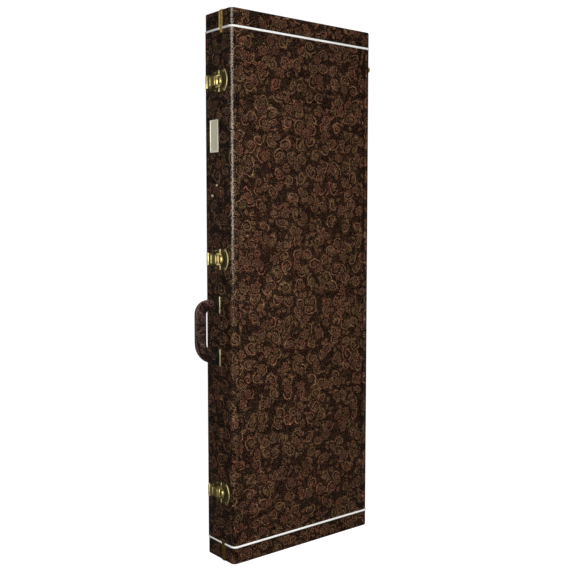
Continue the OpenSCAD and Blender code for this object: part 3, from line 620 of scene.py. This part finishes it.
def main_cover(side, half):
    """The covering round one half, in three panels: latch side, face and hinge side."""
    ring = outline(side)
    face, rim = FACE[side], RIM[side]
    cut = HALF_W - EDGE_R - LAP
    heights = [(MAIN_Z0 + along, inset) for along, inset in TUCK]
    heights += [(z, 0.0) for z in np.linspace(MAIN_Z0 + 0.002, MAIN_Z1 - 0.002, 60)]
    heights += [(MAIN_Z1 - along, inset) for along, inset in reversed(TUCK)]
    arc = ring[-1][0]
    edge_u = EDGE_R * QUARTER + abs(face - rim) - EDGE_R
    for part, sign in (("latch_side", -1), ("face", 0), ("hinge_side", 1)):
        if part == "face":
            column = [(edge_u + LAP, -cut, face, 0.0, float(side))]
            column += [p for p in ring if abs(p[1]) < cut and abs(p[2] - face) < 1e-6]
            column.append((edge_u + 2 * (HALF_W - EDGE_R) - LAP, cut, face, 0.0, float(side)))
        else:
            column = [p for p in ring if p[1] * sign > HALF_W - EDGE_R - 1e-6]
            inner = (edge_u + LAP if sign < 0 else arc - (edge_u + LAP), sign * cut, face, 0.0, float(side))
            turned = [(0.0 if sign < 0 else arc, sign * (HALF_W - d), rim + side * e, float(sign), 0.0)
                      for d, e in ((0.006, 0.0), (0.0009, 0.0), (0.0003, 0.0003), (0.0, 0.0009))]
            if sign < 0:
                column = turned + column[1:] + [inner]
            else:
                column = [inner] + column[:-1] + turned[::-1]
        verts, wrap, wear_and_highlight = wrapped(column, heights, side)
        made = piece(f"{half}_cover_{part}", verts, grid_faces(len(heights), len(column)), half, COVER,
                     (f"{half}_main_cover",) if part == "face" else (),
                     attributes={"wrap": wrap, "wear_and_highlight": wear_and_highlight}, closed=False)
        applied(made, SOLIDIFY={"thickness": SHEET, "offset": -1.0})
        outward(made.data)


def cap_cover(side, half, top):
    """The covering's band over one end: a skirt and the end face, its edge rounded."""
    ring = outline(side)
    sign = 1 if top else -1
    end = TOP if top else 0.0
    start = BAND_TOP_Z if top else BAND_LOW_Z
    rows = [(start + sign * along, inset) for along, inset in TUCK]
    rows += [(z, 0.0) for z in np.linspace(start + sign * 0.003, end - sign * END_R, 4)]
    for k in range(1, 7):
        a = k / 6 * QUARTER
        rows.append((end - sign * END_R * (1 - math.sin(a)), END_R * (1 - math.cos(a))))
    verts, wrap, wear_and_highlight = wrapped(ring, rows, side, end)
    faces = grid_faces(len(rows), len(ring))
    # the end face, as strips across the depth, with the pattern laid on from the long face
    first = len(verts)
    u_mid, x_mid = ring[len(ring) // 2][:2]
    steps = 6
    for x, y, _ in verts[-len(ring):]:
        for k in range(steps + 1):
            across = y + (RIM[side] - y) * (k / steps)
            verts.append((x, across, end))
            wrap.append((u_mid + x - x_mid, end + sign * abs(across - FACE[side]), 0.0))
            wear_and_highlight.append(0.0)
    faces += grid_faces(len(ring), steps + 1, first=first)
    made = piece(f"{half}_cover_{'head' if top else 'tail'}_end", verts, faces, half, COVER,
                 (f"{half}_{'top' if top else 'bottom'}_cover",),
                 attributes={"wrap": wrap, "wear_and_highlight": wear_and_highlight}, closed=False)
    middle = Vector((0, (FRONT + BACK) / 2, TOP / 2))
    with edited(made.data) as bm:
        bmesh.ops.dissolve_degenerate(bm, dist=1e-7, edges=bm.edges)
        bm.normal_update()
        inward = [f for f in bm.faces if f.normal.dot(f.calc_center_median() - middle) < 0]
        bmesh.ops.reverse_faces(bm, faces=inward)


for side, half in ((-1, "lid"), (1, "base")):
    main_cover(side, half)
    cap_cover(side, half, True)
    cap_cover(side, half, False)

# ---------------------------------------- piping and end strips


def tube_faces(rows, columns):
    """Faces of a closed tube: rings of points joined up, and one face over each end."""
    last = (rows - 1) * columns
    ends = [tuple(range(columns)), tuple(last + j for j in reversed(range(columns)))]
    return grid_faces(rows, columns, wrap_columns=True) + ends


def swept(path, normals, section, scale=lambda i: (1.0, 1.0)):
    """Rings of a section carried along a path. Each section point is (across, out): across is along
    the second normal and out along the first, and scale gives the size of both at each ring."""
    verts = []
    for i, (point, (out, across)) in enumerate(zip(path, normals)):
        wide, thick = scale(i)
        verts += [point + across * (a * wide) + out * (b * thick) for a, b in section]
    return verts, tube_faces(len(path), len(section))


def add_part(verts, faces, part):
    """Adds a part's points and faces to a piece's."""
    faces += [tuple(len(verts) + k for k in face) for face in part[1]]
    verts += part[0]


def circle(radius, count):
    """Points round a circle."""
    turns = [TAU * k / count for k in range(count)]
    return [(radius * math.cos(a), radius * math.sin(a)) for a in turns]


def finer(points, step):
    """More points along a line of (u, x, y, nx, ny)."""
    made = [points[0]]
    for a, b in zip(points, points[1:]):
        count = max(1, round((b[0] - a[0]) / step))
        made += [tuple(a[k] + (b[k] - a[k]) * i / count for k in range(5)) for i in range(1, count + 1)]
    return made


PIPE_R = 0.0021
PIPE_SINK = 0.0006  # how deep the cord's middle line lies in the join
PIPE_SHORT = {-1: 0.0066, 1: 0.0026}  # how far the cord stops before the rim, under the end strip


def uneven(i):
    """The cord's thickness wavers a little along it."""
    share = 1 + 0.025 * math.sin(i * 2.1)
    return share, share


for side, body in ((-1, "lid"), (1, "base")):
    verts, faces = [], []
    for z in ((MAIN_Z1 + BAND_TOP_Z) / 2, (MAIN_Z0 + BAND_LOW_Z) / 2):
        run = finer(outline(side, PIPE_SINK, RIM[side] + side * PIPE_SHORT[side]), 0.003)
        path = [Vector((x, y, z)) for _, x, y, _, _ in run]
        frames = [(Vector((nx, ny, 0)).normalized(), Vector((0, 0, 1))) for *_, nx, ny in run]
        add_part(verts, faces, swept(path, frames, circle(PIPE_R, 14), uneven))
    piece(f"{body}_piping_cord", verts, faces, body, PIPING, (f"{body}_piping",))

STRIP_LEG = 0.041  # how far an end strip runs down each side, less its own thickness
LEG = high("base_end_trim").z - TOP + STRIP_LEG


def strip_path(top):
    """Middle line of an end strip: up one leg, over the end and down the other, and the way out from it."""
    end, sign = (TOP, 1) if top else (0.0, -1)
    leg_end = end - sign * LEG
    turn_z = end - sign * END_R
    line = [((-HALF_W, z), (-1, 0)) for z in np.linspace(leg_end, turn_z, 8)]
    for corner in (-1, 1):
        turn_x = corner * (HALF_W - END_R)
        for k in range(1, 9):
            a = k / 8 * QUARTER
            nx, nz = (math.cos(a), math.sin(a)) if corner < 0 else (math.sin(a), math.cos(a))
            spot = (turn_x + corner * nx * END_R, turn_z + sign * nz * END_R)
            line.append((spot, (corner * nx, sign * nz)))
        if corner < 0:
            line += [((x, end), (0, sign)) for x in np.linspace(turn_x, -turn_x, 24)[1:]]
    line += [((HALF_W, z), (1, 0)) for z in np.linspace(turn_z, leg_end, 8)[1:]]
    path = [Vector((x, SEAM, z)) for (x, z), _ in line]
    return path, [(Vector((nx, 0, nz)), Vector((0, 1, 0))) for _, (nx, nz) in line]


# Sections of the strips in millimetres, (way along Y from the seam, way out from the shell): the lid's
# strip has a flange, a raised bead and a flat edge at the seam, and the base's strip is a plain flange
LID_STRIP = [(-7.5, 0.0), (-7.5, 0.55), (-7.1, 0.9), (-6.2, 0.95), (-5.2, 0.8), (-4.5, 1.1), (-3.9, 1.75),
             (-3.1, 1.95), (-2.3, 1.75), (-1.7, 1.1), (-1.0, 0.8), (-0.35, 0.75), (-0.3, 0.5), (-0.3, -0.9),
             (-7.0, -0.9)]
BASE_STRIP = [(0.3, -0.9), (0.3, 0.5), (0.35, 0.75), (1.4, 0.8), (2.4, 0.95), (3.1, 0.9), (3.5, 0.55),
              (3.5, 0.0), (3.1, -0.9)]
for body, section in (("lid", LID_STRIP), ("base", BASE_STRIP)):
    section = [(a * 0.001, b * 0.001) for a, b in section]
    verts, faces = [], []
    for top in (True, False):
        path, frames = strip_path(top)
        last = len(path) - 1
        taper = {0: 0.55, 1: 0.95, last: 0.55, last - 1: 0.95}
        add_part(verts, faces, swept(path, frames, section, lambda i: (1.0, taper.get(i, 1.0))))
    for spot in verts:
        spot.z = max(spot.z, 0.0)  # the tail strip lies flush, so that the case stands flat
    made = piece(f"{body}_end_strips", verts, faces, body, STRIP_BRASS, (f"{body}_end_trim",))
    made.data.set_sharp_from_angle(angle=math.radians(50))

# ---------------------------------------- handle

PIVOT_X = (low("handle_pins").x + high("handle_pins").x) / 2
HANDLE_Y = (low("handle_pins").y + high("handle_pins").y) / 2
GRIP_HALF = (high("handle_grip").y - low("handle_grip").y) / 2
LEG_TOP = high("handle_grip").z - GRIP_HALF
LEG_LOW = low("handle_grip").z + GRIP_HALF
REACH_X = low("handle_grip").x + GRIP_HALF


def rounded_path(corners, steps):
    """A line through corners given as (x, z, radius), each one rounded."""
    points = []
    for i, (x, z, radius) in enumerate(corners):
        here = Vector((x, z))
        if radius == 0:
            points.append(here)
            continue
        back = (Vector(corners[i - 1][:2]) - here).normalized()
        on = (Vector(corners[i + 1][:2]) - here).normalized()
        half = back.angle(on) / 2
        centre = here + (back + on).normalized() * radius / math.sin(half)
        a = here + back * radius / math.tan(half) - centre
        b = here + on * radius / math.tan(half) - centre
        turn = math.pi - 2 * half
        for k in range(steps + 1):
            t = k / steps
            points.append(centre + (a * math.sin(turn * (1 - t)) + b * math.sin(turn * t)) / math.sin(turn))
    return points


def spread_evenly(points, step):
    """The same line with points a fixed step apart."""
    lengths = [0.0]
    for a, b in zip(points, points[1:]):
        lengths.append(lengths[-1] + (b - a).length)
    count = round(lengths[-1] / step)
    made = []
    for k in range(count + 1):
        want = lengths[-1] * k / count
        i = min(len(points) - 2, max(j for j in range(len(points)) if lengths[j] <= want + 1e-9))
        t = (want - lengths[i]) / max(lengths[i + 1] - lengths[i], 1e-9)
        made.append(points[i].lerp(points[i + 1], min(t, 1.0)))
    return made


GRIP_STEP = 0.002
LEG_END = PIVOT_X + 0.004  # the grip ends a little past the pins, nearer the case
HANDLE_LINE = spread_evenly(rounded_path((
    (LEG_END, LEG_TOP, 0), (REACH_X, LEG_TOP, 0.016), (REACH_X, LEG_LOW, 0.031), (LEG_END, LEG_LOW, 0)), 14),
    GRIP_STEP)
LINE_LAST = len(HANDLE_LINE) - 1


def tangent_side(i):
    """The way from the grip's middle line to the inner side of its bow."""
    ahead = (HANDLE_LINE[min(i + 1, LINE_LAST)] - HANDLE_LINE[max(i - 1, 0)]).normalized()
    return Vector((-ahead.y, ahead.x))


ROUND = 40
NOSE_LENGTH = 0.008  # how long the rounded end of each leg is
SEAM_DIP = 0.0010
PATTERN_START, GRIP_GIRTH = 0.35, 0.0695  # the pattern's place on the grip, and the way round it
verts, wrap, wear_and_highlight = [], [], []
for i, middle in enumerate(HANDLE_LINE):
    side_way = tangent_side(i)
    swell = 1.0 - 0.08 * abs(2 * (i / LINE_LAST) - 1) ** 2
    end = min(i, LINE_LAST - i) * GRIP_STEP
    nose = math.sqrt(max(0.0, 1 - (1 - min(end / NOSE_LENGTH, 1.0)) ** 2))
    for k in range(ROUND):
        a = TAU * k / ROUND
        across = GRIP_HALF * 1.02 * swell * math.sin(a) * (0.40 + 0.60 * nose)
        away = GRIP_HALF * 1.05 * swell * math.cos(a) * (0.25 + 0.75 * nose)
        point = middle + side_way * (away - max(0.0, math.cos(a)) ** 20 * SEAM_DIP)
        verts.append((point.x, HANDLE_Y + across, point.y))
        wrap.append((PATTERN_START + GRIP_GIRTH * k / ROUND, GRIP_STEP * i, 0.0))
        wear_and_highlight.append(0.9 * max(0.0, -math.cos(a)) ** 6)
piece("handle_covering", verts, tube_faces(len(HANDLE_LINE), ROUND), "handle", GRIP,
      ("handle_grip",), {"wrap": wrap, "wear_and_highlight": wear_and_highlight})

# stitches along the seam on the inner face of the grip
THREAD_R = 0.00035
verts, faces = [], []
for i in range(8, len(HANDLE_LINE) - 8, 2):
    side_way = tangent_side(i)
    ahead = Vector((side_way.y, -side_way.x))
    for offset in (-0.0024, 0.0024):
        centre = HANDLE_LINE[i] + side_way * (GRIP_HALF * 1.01)
        path = [centre + ahead * d for d in (-0.0014, -0.0009, 0.0, 0.0009, 0.0014)]
        lift = (-0.0006, 0.0, 0.0004, 0.0, -0.0006)
        raised = [spot + side_way * rise for spot, rise in zip(path, lift)]
        points = [Vector((spot.x, HANDLE_Y + offset, spot.y)) for spot in raised]
        frames = [(Vector((side_way.x, 0, side_way.y)), Vector((0, 1, 0)))] * len(points)
        add_part(verts, faces, swept(points, frames, circle(THREAD_R, 8)))
piece("handle_stitches", verts, faces, "handle", THREAD)

# ---------------------------------------- small metal parts

LATCHES = ("top", "middle", "bottom")
FINISHES = {"latch": LATCH_BRASS, "keeper": LATCH_BRASS, "lever": LEVER_BRASS, "loop": LOOP_BRASS,
            "badge": BADGE_BRASS, "handle_bracket": BRACKET}

# on each body, its metal nodes and the width of their rounded edges
METAL = {
    "base": {"latch_plates": 0.00035, "latch_plate_rivets": 0.00015, "latch_pivot_pins": 0.0002,
             "handle_brackets": 0.0004, "handle_bracket_rivets": 0.00015, "badge_plate": 0.00025,
             "badge_pins": 0.0001, "base_hinge_leaves": 0.0003, "hinge_pins": 0.0003,
             "base_hinge_rivets": 0.00015, "base_feet": 0.0003},
    "lid": {"latch_keepers": 0.00035, "keeper_rivets": 0.00015, "lid_hinge_leaves": 0.0003,
            "lid_hinge_rivets": 0.00015, "lid_feet": 0.0003},
    **{f"{name}_lever": {f"lever_{name}": 0.00045} for name in LATCHES},
    **{f"{name}_loop": {f"loop_{name}": 0.0004} for name in LATCHES},
    "handle": {"handle_pins": 0.0003},
}
for body, parts in METAL.items():
    for node, width in parts.items():
        finish_of = next((metal for word, metal in FINISHES.items() if word in node), BRASS)
        refined(node, f"{node}_metal", body, finish_of, width)
refined("handle_core", "handle_strap", "handle", STEEL, 0.0003)

# two domed studs below the badge plate, the upper one nearer the lid
STUD_R, STUD_RISE, STUD_SINK = 0.0030, 0.0026, 0.0004
STUD_CORE = 0.0018  # radius of the CAD's studs
STUD_ROWS, STUD_ROUND = 9, 24
first_stud, last_stud = low("side_studs"), high("side_studs")
verts, faces = [], []
for y, z in ((first_stud.y + STUD_CORE, last_stud.z - STUD_CORE),
             (last_stud.y - STUD_CORE, first_stud.z + STUD_CORE)):
    dome = []
    for k in range(STUD_ROWS):
        fall = k / STUD_ROWS * QUARTER
        x = -HALF_W + STUD_SINK - (STUD_RISE + STUD_SINK) * math.sin(fall)
        radius = STUD_R * math.cos(fall)
        turns = np.linspace(0, TAU, STUD_ROUND, endpoint=False)
        dome += [(x, y + radius * math.cos(a), z + radius * math.sin(a)) for a in turns]
    add_part(verts, faces, (dome, tube_faces(STUD_ROWS, STUD_ROUND)))
piece("side_stud_domes", verts, faces, "base", STUD_BRASS, ("side_studs",))

# the curled nose that closes each lever's front, round its pivot and between the ears
NOSE_R, NOSE_T, NOSE_HALF = 0.0031, 0.0010, 0.0062
SLANT_R, SLANT_Z = 0.0003, 0.0005  # how much the outer corners of its section are cut off
nose_section = [(NOSE_R, -NOSE_HALF + SLANT_Z), (NOSE_R, NOSE_HALF - SLANT_Z), (NOSE_R - SLANT_R, NOSE_HALF),
                (NOSE_R - NOSE_T, NOSE_HALF), (NOSE_R - NOSE_T, -NOSE_HALF), (NOSE_R - SLANT_R, -NOSE_HALF)]
latch_pivot = (low("latch_pivot_pins") + high("latch_pivot_pins")) / 2
for name in LATCHES:
    pivot_z = (low(f"loop_{name}").z + high(f"loop_{name}").z) / 2
    verts = []
    for turn in np.radians(np.linspace(-20, 140, 22)):
        for r, z in nose_section:
            x, y = latch_pivot.x - r * math.cos(turn), latch_pivot.y - r * math.sin(turn)
            verts.append((x, y, pivot_z + z))
    nose = piece(f"lever_{name}_nose", verts, tube_faces(22, len(nose_section)), f"{name}_lever",
                 NOSE_BRASS)
    nose.data.set_sharp_from_angle(angle=math.radians(50))

for node in ("pocket_hinge_leaf", "pocket_hinge_pin", "pocket_lid_leaf"):
    refined(node, f"{node}_metal", "pocket_lid" if "lid" in node else "base", BRASS, 0.00015)

# ---------------------------------------- padding and lining


FRAMES = 20  # how long each block is blown up for


def of_each_point(mesh, field):
    """The place ("co") or the normal of every point, as rows of three."""
    values = np.zeros(len(mesh.vertices) * 3)
    mesh.vertices.foreach_get(field, values)
    return values.reshape(-1, 3)


def move_points(mesh, places):
    mesh.vertices.foreach_set("co", places.ravel())
    mesh.update()


def plump(obj, voxel, shrink, cap):
    """Stuffs a plain solid: it is remeshed and blown up as cloth, with no point moved past the cap."""
    applied(obj, REMESH={"mode": "VOXEL", "voxel_size": voxel})
    mesh = obj.data
    start = of_each_point(mesh, "co") - of_each_point(mesh, "normal") * shrink
    move_points(mesh, start)
    scene = bpy.context.scene
    cloth = obj.modifiers.new("cloth", "CLOTH")
    cloth.settings.quality = 4
    cloth.settings.mass = 0.25
    cloth.settings.use_pressure = True
    cloth.settings.uniform_pressure_force = 4.0
    cloth.settings.effector_weights.gravity = 0
    cloth.point_cache.frame_start, cloth.point_cache.frame_end = 1, FRAMES
    for step in range(1, FRAMES + 1):
        scene.frame_set(step)
    blown = of_each_point(obj.evaluated_get(bpy.context.evaluated_depsgraph_get()).data, "co")
    obj.modifiers.remove(cloth)
    scene.frame_set(1)
    moved = blown - start
    size = np.linalg.norm(moved, axis=1, keepdims=True)
    move_points(mesh, start + moved * np.minimum(1, cap / np.maximum(size, 1e-9)))
    applied(obj, SMOOTH={"factor": 0.5, "iterations": 2}, SUBSURF={"levels": 1, "render_levels": 1})
    obj.data.shade_smooth()


def loops_of_top(node, inset):
    """Closed lines round a block's top face, drawn in a little from its edge."""
    bm = bmesh.new()
    bm.from_mesh(nodes[node].data)
    cleaned(bm, True)
    top_y = min(v.co.y for v in bm.verts)
    found = []
    for face in bm.faces:
        if all(abs(v.co.y - top_y) < 1e-5 for v in face.verts):
            points = [v.co.copy() for v in face.verts]
            following = points[1:] + points[:1]
            turn = 1 if sum(a.x * b.z - b.x * a.z for a, b in zip(points, following)) > 0 else -1
            drawn = []
            for before, here, after in zip(points[-1:] + points, points, following):
                a, b = (here - before).normalized(), (after - here).normalized()
                way = Vector((-(a.z + b.z), 0, a.x + b.x)).normalized() * turn
                drawn.append(here + way * inset)
            found.append(drawn)
    bm.free()
    return found


WELT_R, WELT_INSET = 0.0013, 0.0035


def welt(node, body):
    """A corded seam round the top of a padded block."""
    verts, faces = [], []
    for points in loops_of_top(node, WELT_INSET):
        line = []
        for a, b in zip(points, points[1:] + points[:1]):
            count = max(1, round((b - a).length / 0.008))
            line += [a.lerp(b, k / count) for k in range(count)]
        count, first = len(line), len(verts)
        for k, here in enumerate(line):
            along = (line[(k + 1) % count] - line[k - 1]).normalized()
            out = Vector((along.z, 0, -along.x))
            centre = here + Vector((0, 0.0002 + 0.0002 * math.sin(k * 1.7), 0))
            verts += [centre + out * a + Vector((0, 1, 0)) * b for a, b in circle(WELT_R, 8)]
        faces += grid_faces(count, 8, wrap_rows=True, wrap_columns=True, first=first)
    piece(f"{node}_welt", verts, faces, body, WELT)


def stuffed(node, body, voxel, shrink, cap):
    """A stuffed block in place of a CAD node."""
    made = dress(f"{node}_plush", own_mesh(node, False), body, PLUSH, (node,))
    plump(made, voxel, shrink, cap)


def quilted(name, node, body, way, step, diamond, depth, edge):
    """A sewn pad: crowned between its stitched lines, and drawn in round its border. way is the side
    along Y that its soft face looks to."""
    a, b = low(node), high(node)
    back, thick = (a.y if way > 0 else b.y), b.y - a.y
    xs = np.linspace(a.x, b.x, round((b.x - a.x) / step) + 1)
    zs = np.linspace(a.z, b.z, round((b.z - a.z) / step) + 1)
    verts = []
    for x in xs:
        for z in zs:
            border = min(x - a.x, b.x - x, z - a.z, b.z - z)
            round_off = math.sqrt(1 - (1 - min(border / edge, 1.0)) ** 2)
            p, q = (x + z) / diamond, (x - z) / diamond
            off = min(abs(p - round(p)), abs(q - round(q))) * diamond / math.sqrt(2)
            puff = abs(math.sin(math.pi * (p % 1)) * math.sin(math.pi * (q % 1)))
            groove = math.exp(-((off / 0.005) ** 2))
            rise = thick * (0.45 + 0.55 * round_off) - depth * (0.55 * groove + 0.45 * (1 - puff))
            verts.append((x, back + way * rise, z))
    rows, columns = len(xs), len(zs)
    faces = grid_faces(rows, columns)
    # the border's points in turn, and the same points again on the flat back
    loop = list(range(columns)) + [i * columns + columns - 1 for i in range(1, rows)]
    loop += [(rows - 1) * columns + j for j in range(columns - 2, -1, -1)]
    loop += [i * columns for i in range(rows - 2, 0, -1)]
    first, count = len(verts), len(loop)
    verts += [(verts[k][0], back, verts[k][2]) for k in loop]
    faces += [(loop[k], loop[(k + 1) % count], first + (k + 1) % count, first + k) for k in range(count)]
    faces.append(tuple(range(first, first + count)))
    made = piece(name, verts, faces, body, PLUSH, (node,))
    made.data.set_sharp_from_angle(angle=math.radians(70))


quilted("lid_pad_quilted", "lid_pad", "lid", 1,
        step=0.006, diamond=0.085, depth=0.0045, edge=0.008)
quilted("base_floor_pad_quilted", "base_floor_pad", "base", -1,
        step=0.008, diamond=0.085, depth=0.0016, edge=0.004)
quilted("pocket_lid_padded", "pocket_lid", "pocket_lid", -1,
        step=0.004, diamond=0.060, depth=0.0009, edge=0.0035)
for node in ("latch_side_block", "hinge_side_block", "tail_corner_blocks"):
    stuffed(node, "base", voxel=0.0055, shrink=0.0022, cap=0.0030)
    welt(node, "base")
stuffed("neck_rest", "base", voxel=0.004, shrink=0.0018, cap=0.0026)
for node, body in (("base_wall_lining", "base"), ("lid_wall_lining", "lid"), ("pocket_walls", "base")):
    refined(node, f"{node}_plush", body, PLUSH, 0.0006)

# the ribbon pull on the pocket lid: a flat tab that curls up past the lid's free edge
tab_low, tab_high = low("pocket_tab"), high("pocket_tab")
TAB_ROWS, TAB_COLUMNS, TAB_THICK = 18, 9, 0.0008
TAB_CURL, TAB_BOW = 0.0088, 0.0003
verts = []
for t in np.linspace(0, 1, TAB_ROWS):
    x = tab_high.x + (tab_low.x - tab_high.x) * t
    curl = TAB_CURL * max(0.0, t - 0.45) ** 2
    for w in np.linspace(0, 1, TAB_COLUMNS):
        y = (tab_low.y + tab_high.y) / 2 - curl - TAB_BOW * math.sin(math.pi * w)
        verts.append((x, y, tab_low.z + (tab_high.z - tab_low.z) * w))
tab = piece("pocket_ribbon_tab", verts, grid_faces(TAB_ROWS, TAB_COLUMNS), "pocket_lid", RIBBON,
            ("pocket_tab",), closed=False)
applied(tab, SOLIDIFY={"thickness": TAB_THICK, "offset": 0.0})
outward(tab.data)

# ---------------------------------------- materials of the CAD's own nodes

NODE_MATERIALS = {"board": WOOD, "piping": PIPING, "lining": PLUSH, "pad": PLUSH, "block": PLUSH,
                  "rest": PLUSH, "pocket_walls": PLUSH, "pocket_lid": PLUSH, "handle_grip": GRIP}
for node, made in nodes.items():
    made.data.materials.clear()
    made.data.materials.append(next((m for word, m in NODE_MATERIALS.items() if word in node), BRASS))

# ---------------------------------------- floor

world = bpy.data.worlds.new("studio")
bpy.context.scene.world = world
world.use_nodes = True
sky = world.node_tree.nodes["Background"]
seen = world.node_tree.nodes.new("ShaderNodeLightPath")
level = world.node_tree.nodes.new("ShaderNodeMapRange")
level.inputs["To Min"].default_value = SKY_LIGHT
level.inputs["To Max"].default_value = SKY_SEEN
world.node_tree.links.new(seen.outputs["Is Camera Ray"], level.inputs["Value"])
world.node_tree.links.new(level.outputs["Result"], sky.inputs["Strength"])
sky.inputs["Color"].default_value = (1, 1, 1, 1)

FLOOR_HALF = 0.8
corners = [(FLOOR_HALF * x, FLOOR_HALF * y, 0) for x, y in ((-1, -1), (1, -1), (1, 1), (-1, 1))]
floor_mesh = bpy.data.meshes.new("floor")
floor_mesh.from_pydata(corners, [], [(0, 1, 2, 3)])
floor_object = bpy.data.objects.new("floor", floor_mesh)
bpy.context.scene.collection.objects.link(floor_object)
floor_paint = Paint("floor", Emission_Color=(1, 1, 1, 1), Specular_IOR_Level=0.0)
seen_first = Wire(floor_paint, floor_paint.node("LightPath").outputs["Is Camera Ray"])
floor_paint.put(seen_first, floor_paint.shader.inputs["Emission Strength"])
mottle = floor_paint.noise(floor_paint.here(), 3.0)
greys = floor_paint.mix(mottle, (0.20, 0.20, 0.20), (0.24, 0.24, 0.24))
floor_mesh.materials.append(floor_paint.finish(greys, 0.9 + mottle * 0.05))
